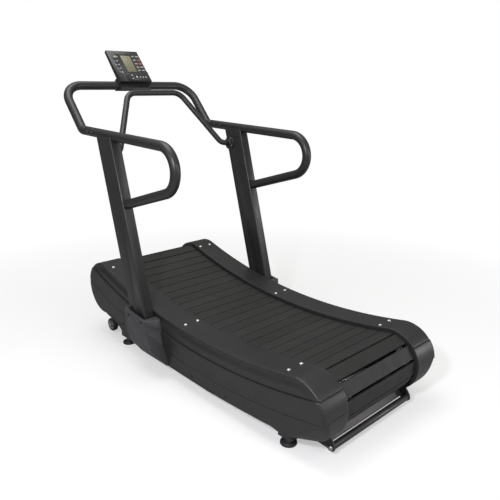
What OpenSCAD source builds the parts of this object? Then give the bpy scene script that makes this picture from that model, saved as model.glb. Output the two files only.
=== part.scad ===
// Curved manual treadmill: a slatted belt runs on two rollers and two curved
// rows of bearings, between two side covers, under two leaning uprights that
// carry the hand rails, the front bar and a small battery console.
// Frame: +X is the runner's right, +Y is forward, +Z is up, floor at Z = 0.

/* [Deck] */
// Radius of the curved deck's trim, seen from the side
deck_radius = 2600; // [2590:1:2610]
// Height of the trim's lowest point above the floor
deck_low = 269; // [267:1:271]
// Length of one running slat, across the machine
slat_length = 440; // [430:1:441]
// Thickness of one running slat
slat_thick = 10; // [9:0.5:10]
// Gap between two slats on the flat
slat_gap = 2.4; // [2:0.1:4]
// Number of slats on the loop
slat_count = 56; // [56:1:56]
// Depth of the stiffening rib under each slat
rib_depth = 20; // [12:1:22]

/* [Side covers] */
// Distance from the middle to the covers' inner lip
lip_x = 223.6; // [223:0.1:226]
// Distance from the middle to the top cover's outer face
ridge_x = 349; // [348:0.5:349]
// Distance from the middle to the side panel's outer face
panel_x = 355; // [353:0.5:356]
// Sheet thickness of the covers
skin = 4; // [3:0.5:4]
// Depth of the top cover, measured down from the ridge
top_depth = 70; // [66:1:74]
// Depth of the lower seam, measured down from the ridge
seam_depth = 150; // [144:1:156]

/* [Uprights and rails] */
// Distance from the middle to the middle of each upright
post_x = 375.5; // [375:0.5:377]
// Upright section, front to back
post_d = 120; // [110:1:122]
// Upright section, side to side
post_w = 50; // [46:1:50]
// Lean of the uprights, in degrees
post_lean = 14.6; // [14:0.1:15]
// Outer radius of the rail tubes
rail_r = 21; // [20:0.5:21]
// Wall of the rail tubes
rail_wall = 2.5; // [2:0.5:3]
// Outer radius of the cross bar between the uprights
bar_r = 14; // [12:0.5:14]

/* [Console] */
// Console width
con_w = 186; // [180:1:190]
// Console height along its face
con_h = 208; // [200:1:212]
// Sideways place of the console on the bar
con_x = 12; // [0:1:14]

/* [Feet and wheels] */
// Radius of a levelling foot's pad
foot_r = 32; // [28:1:34]
// Radius of a transport wheel
wheel_r = 34; // [30:1:35]

/* [Hidden] */
$fn = 64;
DF = 720;

mid_y = 73.13;                       // the deck's screw row sits this far behind the origin
yc = -170;                        // the deck curve's lowest point
zc = deck_low + deck_radius;
trim_r = 130;                     // end radius of the covers
loop_r = 114;                     // outer radius of the slats on a roller
fy = 667;
ry = -686;
function roller_z(y) = zc - sqrt(pow(deck_radius + trim_r, 2) - pow(y - yc, 2));
fz = roller_z(fy);
rz = roller_z(ry);
th_f = asin((fy - yc) / (deck_radius + trim_r));
th_r = asin((ry - yc) / (deck_radius + trim_r));
phi = atan2(fz - rz, fy - ry);
span = norm([fy - ry, fz - rz]);
pitch_in = slat_thick + 3;        // pitch line below the slat's top
rp = loop_r - pitch_in;
Rp = deck_radius + trim_r - loop_r + pitch_in;
L1 = Rp * (th_f - th_r) * PI / 180;
L2 = rp * (180 + th_f - phi) * PI / 180;
L3 = span;
L4 = rp * (180 + phi - th_r) * PI / 180;
loop_len = L1 + L2 + L3 + L4;
pitch = loop_len / slat_count;
s_gap = (asin((24 - yc) / Rp) - th_r) * PI / 180 * Rp;

// Place on the loop at arc length s: [y, z, angle of the outward normal]
function on_loop(s0) = let (s = s0 - loop_len * floor(s0 / loop_len))
  s < L1 ? let (t = th_r + s / Rp * 180 / PI) [yc + Rp * sin(t), zc - Rp * cos(t), 90 + t]
  : s < L1 + L2 ? let (a = 90 + th_f - (s - L1) / rp * 180 / PI) [fy + rp * cos(a), fz + rp * sin(a), a]
  : s < L1 + L2 + L3 ? let (u = s - L1 - L2, a = phi - 90)
      [fy + rp * cos(a) - u * cos(phi), fz + rp * sin(a) - u * sin(phi), a]
  : let (a = phi + 270 - (s - L1 - L2 - L3) / rp * 180 / PI) [ry + rp * cos(a), rz + rp * sin(a), a];
function trim_z(y) = zc - sqrt(pow(deck_radius, 2) - pow(y - yc, 2));
function beam_y(u, v) = ry + u * cos(phi) - v * sin(phi);
function beam_z(u, v) = rz + u * sin(phi) + v * cos(phi);

module place() translate([0, -mid_y, 0]) children();
// a side-view outline (first axis Y, second axis Z) given thickness from x0 to x1
module slab(x0, x1) translate([x0, 0, 0]) rotate([90, 0, 90]) linear_extrude(x1 - x0) children();
module both() { children(); mirror([1, 0, 0]) children(); }
// a cylinder along X
module xcyl(x0, x1, r) translate([x0, 0, 0]) rotate([0, 90, 0]) cylinder(r = r, h = x1 - x0);
module deck_disc(o) translate([yc, zc]) circle(r = deck_radius + o, $fn = DF);
module roller_frame(u, v) translate([0, beam_y(u, v), beam_z(u, v)]) rotate([phi, 0, 0]) children();

// ---------- tubes bent at corners ----------
function unit(v) = v / norm(v);
function turn(p, i) = acos(max(-1, min(1, unit(p[i] - p[i-1]) * unit(p[i+1] - p[i]))));
function setback(p, R, i) = (i == 0 || i == len(p) - 1) ? 0 : R[i] * tan(turn(p, i) / 2);
module stick(a, b, r, ri) {
  d = b - a; l = norm(d);
  translate(a) rotate([0, acos(d[2] / l), atan2(d[1], d[0])]) difference() {
    cylinder(r = r, h = l);
    if (ri > 0) translate([0, 0, -1]) cylinder(r = ri, h = l + 2);
  }
}
module elbow(p, i, R, r, ri) {
  d1 = unit(p[i] - p[i-1]); d2 = unit(p[i+1] - p[i]);
  a = turn(p, i); t = R * tan(a / 2);
  p1 = p[i] - d1 * t;
  n = unit(cross(d1, d2));
  inw = cross(n, d1);
  c = p1 + inw * R;
  x = -inw;
  multmatrix([[x[0], d1[0], n[0], c[0]], [x[1], d1[1], n[1], c[1]], [x[2], d1[2], n[2], c[2]], [0, 0, 0, 1]])
    rotate_extrude(angle = a, $fn = 128) translate([R, 0]) difference() {
      circle(r = r);
      if (ri > 0) circle(r = ri);
    }
}
// each bend meets its straight lengths over a short sleeve inside the tube
module tube(p, R, r, ri = 0) {
  n = len(p) - 1;
  for (i = [0 : n - 1]) let (d = unit(p[i+1] - p[i]))
    stick(p[i] + d * (setback(p, R, i) + (i > 0 ? 0.06 : 0)), p[i+1] - d * (setback(p, R, i + 1) + (i < n - 1 ? 0.06 : 0)), r, ri);
  if (n > 1) for (i = [1 : n - 1]) {
    elbow(p, i, R[i], r, ri);
    for (e = [[p[i] - unit(p[i] - p[i-1]) * setback(p, R, i), unit(p[i-1] - p[i])],
              [p[i] + unit(p[i+1] - p[i]) * setback(p, R, i), unit(p[i+1] - p[i])]])
      stick(e[0] - e[1] * 1.5, e[0] + e[1] * 2, ri > 0 ? (r + ri) / 2 - 0.2 : r * 0.75, ri > 0 ? ri - 1.5 : 0);
  }
}

// ---------- belt loop ----------
module loop_region(o) difference() {
  union() {
    translate([fy, fz]) circle(r = loop_r - o + 0.03);
    translate([ry, rz]) circle(r = loop_r - o + 0.03);
    polygon([[yc + (deck_radius + 15 + o) * sin(th_r), zc - (deck_radius + 15 + o) * cos(th_r)],
      [yc + (deck_radius + 15 + o) * sin(th_f), zc - (deck_radius + 15 + o) * cos(th_f)],
      [fy, fz],
      [fy + (loop_r - o) * sin(phi), fz - (loop_r - o) * cos(phi)],
      [ry + (loop_r - o) * sin(phi), rz - (loop_r - o) * cos(phi)],
      [ry, rz]]);
  }
  deck_disc(16 + o);
}
module slat_place(k) {
  q = on_loop(s_gap + (k + 0.5) * pitch);
  translate([0, q[0], q[1]]) rotate([q[2] - 90, 0, 0]) children();
}
module one_slat() {
  w = pitch - slat_gap;
  translate([-slat_length / 2, -w / 2, 3]) cube([slat_length, w, slat_thick]);
  translate([-158, -5, 3.5 - rib_depth]) cube([316, 10, rib_depth]);
}
module running_slats() color([0.17, 0.17, 0.17]) place() for (k = [0 : slat_count - 1]) slat_place(k) one_slat();
module slat_belts() color([0.07, 0.07, 0.07]) place() both() slab(170, 200)
  difference() { loop_region(slat_thick + 0.35); loop_region(16); }
module slat_screws() color([0.75, 0.75, 0.75]) place() for (k = [0 : slat_count - 1]) slat_place(k)
  for (x = [-206, -164, 164, 206]) for (y = [-18, 18]) translate([x, y, -0.2]) cylinder(r = 3.2, h = 3.2, $fn = 16);

// ---------- frame ----------
module beam_outline() polygon([for (q = [[-36, -35], [span + 38, -35], [span + 38, -78], [span - 66, -115], [64, -115], [-36, -75]])
  [beam_y(q[0], q[1]), beam_z(q[0], q[1])]]);
module beam_solid() slab(273, 323) beam_outline();
module side_beam() color([0.2, 0.2, 0.2]) place() difference() {
  union() {
    slab(273, 323) beam_outline();
    roller_frame(0, 0) translate([283, 78, -37]) cube([24, 8, 50]);
    translate([320, 168, 134]) cube([post_x - post_w / 2 - 320.05, 84, 60]);
  }
  roller_frame(0, 0) translate([295, 70, 0]) rotate([-90, 0, 0]) cylinder(r = 5.05, h = 30);
  slab(276, 320) polygon([for (q = [[-40, -38], [span + 40, -38], [span + 40, -76], [span - 67, -112], [65, -112], [-40, -72]])
    [beam_y(q[0], q[1]), beam_z(q[0], q[1])]]);
  for (q = up_bolts) translate([0, q[0], q[1]]) xcyl(260, 360, 6.05);
}
module cross_tubes() color([0.2, 0.2, 0.2]) place() {
  for (q = [[-480, 148], [0, 168], [480, 205]]) translate([-273, q[0] - 30, q[1] - 16]) difference() {
    cube([546, 60, 32]);
    translate([-1, 2.5, 2.5]) cube([548, 55, 27]);
  }
  for (q = [[515, 40], [-610, 32]]) translate([-273, q[0] - 15, q[1]]) difference() {
    cube([546, 30, 28]);
    translate([-1, 2.5, 2.5]) cube([548, 25, 23]);
  }
}
module floor_legs() color([0.2, 0.2, 0.2]) place() both() for (q = [[515, 38, 1], [-610, 30, 0]]) difference() {
  translate([273, q[0] - 33, q[1]]) cube([50, 66, 140]);
  slab(260, 330) polygon([for (p = [[-100, -115], [span + 100, -115], [span + 100, 60], [-100, 60]]) [beam_y(p[0], p[1]), beam_z(p[0], p[1])]]);
  beam_solid();
  translate([300, q[0], -1]) cylinder(r = 8.05, h = 300);
}
function track_t(i) = (i - 9) * 1.262 + 3.5;      // angle of each bearing on the deck curve
track_R = deck_radius + 16 + 16 + 0.4 + 11;
module at_track(i) translate([0, yc + track_R * sin(track_t(i)), zc - track_R * cos(track_t(i))]) children();
module rail_outline() difference() {
  polygon([[-575, 60], [-575, 420], [585, 420], [585, 60]]);
  deck_disc(16 + 20);
  difference() { translate([yc, zc]) circle(r = deck_radius + 400, $fn = DF); deck_disc(16 + 68); }
}
module bearing_rails() color([0.25, 0.25, 0.25]) place() both() difference() {
  slab(205, 211) rail_outline();
  for (i = [0 : 18]) at_track(i) xcyl(200, 215, 4.05);
}
module rail_brackets() color([0.25, 0.25, 0.25]) place() both() for (y = [-400, -165, 165, 400]) difference() {
  union() {
    translate([211, y - 25, trim_z(y) - 84]) cube([5, 50, 44]);
    translate([211, y - 25, trim_z(y) - 84]) cube([80, 50, 5]);
    translate([273, y - 25, 60]) cube([18, 50, trim_z(y) - 84 - 60 + 5]);
  }
  slab(260, 330) polygon([for (p = [[-100, -300], [span + 100, -300], [span + 100, -35], [-100, -35]]) [beam_y(p[0], p[1]), beam_z(p[0], p[1])]]);
  for (i = [0 : 18]) at_track(i) xcyl(209, 222, 8.6);
}
module track_bearings() color([0.7, 0.7, 0.72]) place() both() for (i = [0 : 18]) at_track(i) difference() {
  xcyl(180, 190, 11);
  xcyl(179, 191, 4.02);
}
module track_bearing_bolts() color([0.55, 0.55, 0.57]) place() both() for (i = [0 : 18]) at_track(i) {
  xcyl(176.5, 220, 4);
  xcyl(174, 179.6, 6.5);
  xcyl(190.4, 204.8, 6);
  translate([211.2, 0, 0]) rotate([0, 90, 0]) cylinder(r = 7.5, h = 6, $fn = 6);
}

// ---------- rollers ----------
module axle(y, z) color([0.65, 0.65, 0.66]) place() translate([0, y, z]) {
  xcyl(-318, 318, 12.5);
  xcyl(-167, 167, 30);
}
module pulley(y, z) color([0.3, 0.3, 0.31]) place() translate([0, y, z]) both() rotate([0, 90, 0]) rotate_extrude($fn = 128)
  polygon([[12.5, 167.1], [30, 167.1], [30, 180], [86, 180], [86, 166], [100.6, 166], [100.6, 168.5], [97.6, 168.5],
    [97.6, 201.5], [100.6, 201.5], [100.6, 204], [86, 204], [86, 186], [30, 186], [30, 198], [12.5, 198]]);
module front_axle() axle(fy, fz);
module rear_axle() axle(ry, rz);
module front_pulleys() pulley(fy, fz);
module rear_pulleys() pulley(ry, rz);
module speed_magnet() color([0.8, 0.8, 0.82]) place() roller_frame(60, 0) xcyl(186, 190, 6);
module axle_bearings() color([0.75, 0.75, 0.76]) place() both() for (q = [[fy, fz], [ry, rz]]) translate([0, q[0], q[1]]) difference() {
  xcyl(287, 303, 24);
  xcyl(286, 304, 12.55);
}
module bearing_blocks() color([0.22, 0.22, 0.23]) place() both() for (u = [0, span]) roller_frame(u, 0) difference() {
  union() {
    translate([282, -34, -35]) cube([26, 68, 40]);
    xcyl(282, 308, 34);
  }
  xcyl(280, 310, 24);
  translate([270, -60, -60]) cube([60, 120, 25]);
}
module tensioner_bolts() place() both() roller_frame(0, 0) {
  translate([295, 34.1, 0]) rotate([-90, 0, 0]) cylinder(r = 5, h = 70);
  translate([295, 90, 0]) rotate([-90, 0, 0]) cylinder(r = 8.5, h = 7, $fn = 6);
}
module speed_sensor() color([0.1, 0.1, 0.1]) place() roller_frame(60, 0) {
  xcyl(194, 232, 5.5);
  difference() {
    translate([222, -13, -35]) cube([4, 26, 47]);
    xcyl(200, 240, 5.4);
  }
  translate([222, -13, -35]) cube([70, 26, 3]);
}

module chassis_bolts() color([0.7, 0.69, 0.66]) { tensioner_bolts(); upright_bolts(); wheel_axles(); lift_bar_bolts(); }
module trim_screws() color([0.06, 0.06, 0.06]) { skirt_screws(); boot_screws(); }
module rail_joint_fittings() color([0.3, 0.3, 0.3]) { joint_sleeves(); rail_joint_bolts(); cross_bar_bolts(); }

// ---------- side covers ----------
module side_outline(o = 0) difference() {
  union() {
    translate([fy, fz]) circle(r = trim_r - o + 0.03);
    translate([ry, rz]) circle(r = trim_r - o + 0.03);
    polygon([[yc + (deck_radius + o - 1) * sin(th_r), zc - (deck_radius + o - 1) * cos(th_r)],
      [yc + (deck_radius + o - 1) * sin(th_f), zc - (deck_radius + o - 1) * cos(th_f)],
      [fy, fz], [fy, fz - trim_r + o + 0.5], [595, 141 + o], [503, 123 + o], [480, 117 + o], [440, 86 + o], [400, 71 + o], [360, 64 + o], [300, 61 + o],
      [130, 61 + o], [-110, 58 + o], [-260, 58 + o], [-400, 64 + o], [-530, 71 + o], [-640, 74 + o], [ry, rz - trim_r + o + 0.5], [ry, rz]]);
  }
  deck_disc(o);
}
module above_seam(d) difference() { translate([-900, -100]) square([1800, 700]); difference() { translate([-900, -100]) square([1800, 700]); deck_disc(d); } }
module below_seam(d) difference() { translate([-900, -100]) square([1800, 700]); deck_disc(d); }
module cover_ring(o) difference() { side_outline(o); side_outline(o + skin); }
module screw_spot(y) translate([0, y, trim_z(y)]) rotate([asin((y - yc) / deck_radius), 0, 0]) children();
rows = [607, 0, -612];
module boot_room(x0, x1) slab(x0, x1) polygon([[139.5, 268], [338.4, 291], [328.6, 220], [314.6, 142], [301.6, 50], [70, 50], [115.2, 142], [130, 220]]);
module top_cover() color([0.18, 0.18, 0.18]) place() difference() {
  union() {
    slab(lip_x, ridge_x) intersection() { cover_ring(0); above_seam(top_depth - 0.4); }
    slab(ridge_x - skin, ridge_x) intersection() { side_outline(skin); above_seam(top_depth - 0.4); }
    slab(lip_x, lip_x + 3) difference() { side_outline(skin); side_outline(14); translate([-900, -100]) square([1800, rz + 100]); }
  }
  for (y = rows) screw_spot(y) for (x = [244.5, 310.2]) translate([x, 0, -20]) cylinder(r = 2.6, h = 30);
}
module side_panel() color([0.16, 0.16, 0.16]) place() difference() {
  union() {
    slab(lip_x, panel_x - skin) intersection() { cover_ring(0); above_seam(seam_depth - 0.4); below_seam(top_depth + 0.4); }
    slab(panel_x - skin, panel_x) intersection() { side_outline(0); above_seam(seam_depth - 0.4); below_seam(top_depth + 0.4); }
  }
  boot_room(340, 360);
}
module lower_skirt() color([0.16, 0.16, 0.16]) place() difference() {
  union() {
    slab(lip_x, 346) intersection() {
      cover_ring(0);
      below_seam(seam_depth + 0.4);
      union() { translate([fy - 40, 60]) square([300, 400]); translate([-900, rz - 104]) square([180, 200]); }
    }
    slab(346, 350) intersection() {
      side_outline(0);
      below_seam(seam_depth + 0.4);
      polygon([[-830, 200], [-742, 133], [-650, 71], [-650, 0], [900, 0], [900, 400], [-830, 400]]);
    }
  }
  boot_room(340, 360);
  for (y = [-315, -90, 470]) translate([0, y, y > 0 ? 135 : 80]) xcyl(340, 360, 3.05);
  translate([280, 470, 50]) cube([60, 90, 60]);
  translate([284, 600, 100]) cube([20, 104, 60]);
}
module front_cover() color([0.16, 0.16, 0.16]) place() slab(-223, 223) difference() {
  translate([fy, fz]) circle(r = trim_r);
  translate([fy, fz]) circle(r = trim_r - skin);
  translate([fy - 300, -100]) square([310, 700]);
  translate([fy, fz + 62]) square([300, 300]);
}
module cover_supports() color([0.3, 0.3, 0.3]) place() both() for (y = rows) difference() {
  union() {
    screw_spot(y) translate([240, -15, -skin - 3.4]) cube([78, 30, 3]);
    screw_spot(y) translate([y < -500 ? 309 : 290, -12, -170]) cube([y < -500 ? 10 : 16, 24, 167 - skin]);
  }
  if (y > 500) roller_frame(span, 0) {
    xcyl(280, 320, 34.05);
    translate([280, -80, -200]) cube([40, 200, 222]);
  }
  slab(260, 330) polygon([for (p = [[-100, -400], [span + 100, -400], [span + 100, -35], [-100, -35]]) [beam_y(p[0], p[1]), beam_z(p[0], p[1])]]);
  screw_spot(y) for (x = [244.5, 310.2]) translate([x, 0, -20]) cylinder(r = 2.6, h = 30);
}
module cover_screws() color([0.85, 0.85, 0.86]) place() both() for (y = rows) screw_spot(y) for (x = [244.5, 310.2]) translate([x, 0, 0]) {
  translate([0, 0, 0.05]) rotate_extrude() polygon([[0, 0], [7.2, 0], [7.2, 1], [5.8, 2.4], [2.5, 3], [2.5, 1.8], [0, 1.8]]);
  translate([0, 0, -14]) cylinder(r = 2.5, h = 14.5);
}
module skirt_screws() place() both() for (y = [-315, -90, 470]) translate([0, y, y > 0 ? 135 : 80]) {
  xcyl(344, 350.2, 3);
  xcyl(350.1, 352, 6.5);
}

// ---------- uprights ----------
module lean(x = post_x) translate([x, 197.2, 95]) rotate([-post_lean, 0, 0]) children();
module rounded_bar(w, d, r, h) {
  translate([-w / 2 + r, -d / 2, 0]) cube([w - 2 * r, d, h]);
  translate([-w / 2, -d / 2 + r, 0]) cube([w, d - 2 * r, h]);
  for (sx = [-1, 1]) for (sy = [-1, 1]) translate([sx * (w / 2 - r), sy * (d / 2 - r), 0]) cylinder(r = r, h = h);
}
rail_slope = 2.37;
rail_at = [post_x, 640, 1065.5];
rail_pts = [[0, 0, 0], [0, -1188.4, -49.2], [0, -318, -303.1]];
rail_bend = [0, 94.8, 0];
module rail_line(o) translate([0, 640, 1065.5]) rotate([rail_slope, 0, 0]) translate([0, -1400, o]) children();
up_bolts = [[198, 148], [224, 180]];
module upright() color([0.2, 0.2, 0.2]) place() difference() {
  lean() rounded_bar(post_w, post_d, 7, 1010);
  lean() translate([0, 0, -1]) rounded_bar(post_w - 6, post_d - 6, 4, 1020);
  translate([300, 0, 0]) cube([150, 500, 123]);
  rail_line(-3) translate([post_x - 60, 0, 0]) cube([120, 1600, 100]);
  translate(rail_at) rotate([rail_slope, 0, 0]) rotate([90, 0, 0]) cylinder(r = rail_r + 0.02, h = 500);
  for (q = up_bolts) translate([0, q[0], q[1]]) xcyl(340, 410, 6.05);
  translate([0, 470, 975]) xcyl(post_x - 30, post_x - 20, 9.1);
}
module cable_holes_post() { translate([0, 232, 216]) rotate([0, 90, 0]) translate([0, 0, 345]) cylinder(r = 5, h = 20); }
module left_upright() mirror([1, 0, 0]) upright();
module right_upright() difference() { upright(); place() cable_holes_post(); }
module upright_bolts() place() both() for (q = up_bolts) translate([0, q[0], q[1]]) {
  xcyl(271, post_x + post_w / 2 + 1, 6);
  translate([post_x + post_w / 2 + 0.1, 0, 0]) rotate([0, 90, 0]) cylinder(r = 9.5, h = 7, $fn = 6);
  translate([266, 0, 0]) rotate([0, 90, 0]) cylinder(r = 9.5, h = 6.9, $fn = 6);
}
boot_out = 420;
boot_levels = [
  [[349.4, 141, 266], [boot_out, 156, 267.8], [boot_out, 322, 287.3], [349.4, 336, 289]],
  [[349.4, 131.5, 220], [boot_out, 153, 220], [boot_out, 316, 220], [349.4, 327, 220]],
  [[349.4, 117, 142], [boot_out, 111, 142], [boot_out, 300, 142], [349.4, 313, 142]],
  [[349.4, 78, 62], [362, 82, 62], [362, 292, 62], [349.4, 300, 62]]];
module boot() color([0.19, 0.19, 0.2]) place() difference() {
  union() for (i = [0 : 2]) {
    u = boot_levels[i];
    v = boot_levels[i + 1];
    polyhedron(concat(u, v), [[3, 2, 1, 0], [4, 5, 6, 7], [1, 4, 0], [1, 5, 4], [2, 5, 1], [2, 6, 5], [3, 6, 2], [3, 7, 6], [0, 7, 3], [0, 4, 7]]);
  }
  intersection() {
    translate([0, 500, 0]) rotate([90, 0, 0]) linear_extrude(500) polygon([[340, 79], [370, 79], [411.5, 136], [boot_out - 3, 148], [boot_out - 3, 250],
      [boot_out - 11, 250], [boot_out - 11, 330], [340, 330]]);
    lean() translate([0, 0, -40]) rounded_bar(2 * (boot_out - post_x), post_d + 14, 9, 400);
  }
  for (q = [[186, 256], [290, 261]]) translate([0, q[0], q[1]]) xcyl(post_x + 20, boot_out + 5, 3.05);
}
module boot_screws() place() both() for (q = [[186, 256], [290, 261]]) translate([0, q[0], q[1]]) {
  xcyl(post_x + post_w / 2 + 0.3, boot_out + 0.2, 3);
  xcyl(boot_out + 0.1, boot_out + 2, 6);
}

// ---------- rails, bars ----------
module handrail() color([0.2, 0.2, 0.2]) place() difference() {
  translate(rail_at) tube(rail_pts, rail_bend, rail_r, rail_r - rail_wall);
  lean() translate([0, 0, 600]) rounded_bar(post_w, post_d, 7, 230);
  for (y = [552, 598]) translate([0, y, 1065.5 - (640 - y) * 0.0414]) xcyl(post_x - 30, post_x + 30, 4.05);
}
module left_handrail() mirror([1, 0, 0]) handrail();
module right_handrail() difference() { handrail(); place() translate([post_x, 440, 1000]) cylinder(r = 5, h = 55); }
bar_at = [0, 858, 1268];
bar_pts = [for (q = [[-post_x, 640, 1065.5], [-post_x, 681, 1067.2], [-post_x, 858, 1268], [post_x, 858, 1268], [post_x, 681, 1067.2], [post_x, 640, 1065.5]]) q - bar_at];
module front_bar() color([0.2, 0.2, 0.2]) place() difference() {
  translate(bar_at) tube(bar_pts, [0, 30, 97, 97, 30, 0], rail_r, rail_r - rail_wall);
  translate([con_x, 858, 1240]) cylinder(r = 5, h = 60);
}
module joint_sleeves() place() both() difference() {
  translate([post_x, 640, 1065.5]) rotate([rail_slope, 0, 0]) rotate([90, 0, 0]) translate([0, 0, -18]) difference() {
    cylinder(r = rail_r - rail_wall - 0.1, h = 130);
    translate([0, 0, -1]) cylinder(r = rail_r - 2 * rail_wall - 0.1, h = 132);
  }
  for (y = [552, 598]) translate([0, y, 1065.5 - (640 - y) * 0.0414]) xcyl(post_x - 30, post_x + 30, 4.05);
}
module rail_joint_bolts() place() both() for (y = [552, 598]) translate([0, y, 1065.5 - (640 - y) * 0.0414]) {
  xcyl(post_x - 21, post_x + 21.4, 4);
  translate([post_x + 21.2, 0, 0]) rotate([0, 90, 0]) rotate_extrude() polygon([[0, 0], [7, 0], [6.4, 2.4], [4, 4.2], [0, 4.4]]);
  translate([post_x - 21.2, 0, 0]) rotate([0, -90, 0]) rotate_extrude() polygon([[0, 0], [7, 0], [6.4, 2.4], [4, 4.2], [0, 4.4]]);
}
cross_at = [0, 633, 1233];
cross_pts = [for (q = [[-(post_x - post_w / 2) + 5, 466, 975], [-(post_x - post_w / 2) + 50, 478, 980], [-150, 633, 1233], [150, 633, 1233],
  [post_x - post_w / 2 - 50, 478, 980], [post_x - post_w / 2 - 5, 466, 975]]) q - cross_at];
module flange_at() translate([post_x - post_w / 2, 465, 975]) rotate([-post_lean, 0, 0]) children();
module cross_bar() color([0.2, 0.2, 0.2]) place() {
  translate(cross_at) tube(cross_pts, [0, 42, 66, 66, 42, 0], bar_r, bar_r - 2);
  both() flange_at() difference() {
    xcyl(-5, -0.05, 34);
    for (a = [45 : 90 : 315]) rotate([a, 0, 0]) translate([0, 25, 0]) xcyl(-6, 1, 3.55);
  }
}
module cross_bar_bolts() place() both() flange_at() for (a = [45 : 90 : 315]) rotate([a, 0, 0]) translate([0, 25, 0]) {
  xcyl(-5.5, -0.1, 3.5);
  xcyl(-9, -5.05, 6);
}

// ---------- console ----------
con_tilt = 41.7;
module con() translate([con_x, 812.7, 1289.7]) rotate([90 - con_tilt, 0, 0]) children();
module con_outline(x0, x1, front, back0, back1) translate([x0, 0, 0]) rotate([90, 0, 90]) linear_extrude(x1 - x0)
  polygon([[0, -front], [con_h, -front], [con_h, -back1], [0, -back0]]);
module clamp_outline() polygon([[818, 1246], [824, 1241], [884, 1241], [890, 1247], [890, 1286], [872, 1302], [836, 1298], [818, 1289]]);
module console_back() color([0.14, 0.14, 0.15]) place() difference() {
  union() {
    con() difference() {
      con_outline(-con_w / 2, con_w / 2, 8.05, 26, 15);
      con_outline(-con_w / 2 + 3, con_w / 2 - 3, 7, 23, 12.5);
    }
    difference() {
      slab(con_x - 88, con_x + 88) clamp_outline();
      con() translate([-200, -100, -25.5]) cube([400, 500, 200]);
    }
  }
  translate([0, 858, 1268]) xcyl(con_x - 120, con_x + 120, rail_r + 0.05);
  con() translate([-46, 70, -60]) cube([92, 74, 45]);
}
module console_bezel() color([0.16, 0.16, 0.16]) place() con() difference() {
  union() {
    translate([-con_w / 2, 0, -8]) cube([con_w, con_h, 8]);
    translate([-44, 2, -0.5]) cube([con_w / 2 + 44 - 0.5, 48, 3.5]);
  }
  translate([-con_w / 2 + 3, 3, -9]) cube([con_w - 6, con_h - 6, 6.5]);
  translate([-22, 65, -10]) cube([56, 112, 20]);
  for (q = key_spots) translate([q[0], q[1], -10]) cylinder(r = q[2] + 0.35, h = 20);
  for (q = led_spots) translate([q[0], q[1], -10]) cylinder(r = 2.6, h = 20);
}
key_spots = [[-13, 37, 6], [-13, 15, 6], [13, 26, 8], [34, 26, 6], [51, 26, 6], [68, 26, 6]];
led_spots = [[-55, 137], [-55, 112], [-55, 87], [-55, 62]];
module console_display() color([0.55, 0.58, 0.42]) place() con() translate([-21.7, 65.3, -2.4]) cube([55.4, 111.4, 1.8]);
module console_electronics() color([0.1, 0.35, 0.2]) place() con() {
  translate([-80, 8, -9.4]) cube([160, 190, 1.6]);
  translate([-20, 66, -7.7]) cube([52, 110, 4.6]);
  for (q = led_spots) translate([q[0], q[1], -7.75]) cylinder(r = 2.5, h = 8.1);
  translate([-38, 74, -15.4]) cube([76, 60, 6]);
}
module battery_door() color([0.13, 0.13, 0.14]) place() con() intersection() {
  translate([-45.6, 70.4, -40]) cube([91.2, 73.2, 60]);
  con_outline(-45.6, 45.6, 10.5, 28, 17);
  difference() { con_outline(-45.6, 45.6, 10, 26.2, 15.2); con_outline(-60, 60, 0, 23.5, 12.9); }
}
module key_cap(q) {
  translate([q[0], q[1], -6]) cylinder(r = q[2], h = 10.2);
  translate([q[0], q[1], -6]) cylinder(r = q[2] + 1.4, h = 1.6);
}
module up_key() color([0.7, 0.7, 0.7]) place() con() key_cap(key_spots[0]);
module enter_key() color([0.7, 0.7, 0.7]) place() con() key_cap(key_spots[2]);
module down_key() color([0.7, 0.7, 0.7]) place() con() key_cap(key_spots[1]);
module start_key() color([0.7, 0.7, 0.7]) place() con() key_cap(key_spots[3]);
module stop_key() color([0.7, 0.7, 0.7]) place() con() key_cap(key_spots[4]);
module mode_key() color([0.7, 0.7, 0.7]) place() con() key_cap(key_spots[5]);

// ---------- rear end, feet, wheels ----------
module rear_plate() color([0.6, 0.58, 0.57]) place() difference() {
  slab(-237, 237) polygon([[-716, 74], [-746, 41], [-743.5, 38.8], [-713.5, 71.8]]);
  for (s = [-1, 1]) translate([s * 237, -715, 73]) rotate([0, s * 45, 0]) translate([-12, -40, -12]) cube([24, 80, 24]);
}
module lift_bar() color([0.1, 0.1, 0.1]) place() translate([0, -763.5, 36]) difference() { xcyl(-239.9, 239.9, 13); xcyl(-250, 250, 10.5); }
module lift_bar_brackets() color([0.12, 0.12, 0.12]) place() both() difference() {
  slab(240, 245) polygon([[-780, 36], [-777, 52], [-768, 64], [-757, 77], [-748, 86], [-738, 104], [-715, 112], [-660, 100], [-625, 70], [-625, 32], [-740, 26], [-770, 20], [-778, 28]]);
  translate([0, -763.5, 36]) xcyl(230, 260, 5.05);
}
module lift_bar_bolts() place() both() translate([0, -763.5, 36]) {
  xcyl(228, 246, 5);
  xcyl(245.1, 252, 10);
}
module wheel_brackets() color([0.12, 0.12, 0.12]) place() both() slab(291, 295) difference() {
  polygon([[606, 152], [606, 178], [690, 206], [690, 150], [674, 50], [650, 44], [636, 50]]);
  translate([654, 61]) circle(r = 5.05);
  beam_outline();
}
module wheel() color([0.08, 0.08, 0.08]) place() translate([312.2, 654, 61]) rotate([0, 90, 0]) rotate_extrude($fn = 128)
  polygon([[5.05, -13], [12, -13], [12, -9], [24, -9], [24, -12], [wheel_r - 3, -12], [wheel_r, -9], [wheel_r, 9], [wheel_r - 3, 12], [24, 12],
    [24, 9], [12, 9], [12, 13], [5.05, 13]]);
module wheel_axles() place() both() translate([0, 654, 61]) {
  xcyl(288, 330, 5);
  xcyl(325.6, 330.5, 9);
  xcyl(295.1, 298.8, 8);
  translate([284, 0, 0]) rotate([0, 90, 0]) cylinder(r = 8.5, h = 6.9, $fn = 6);
}
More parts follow.
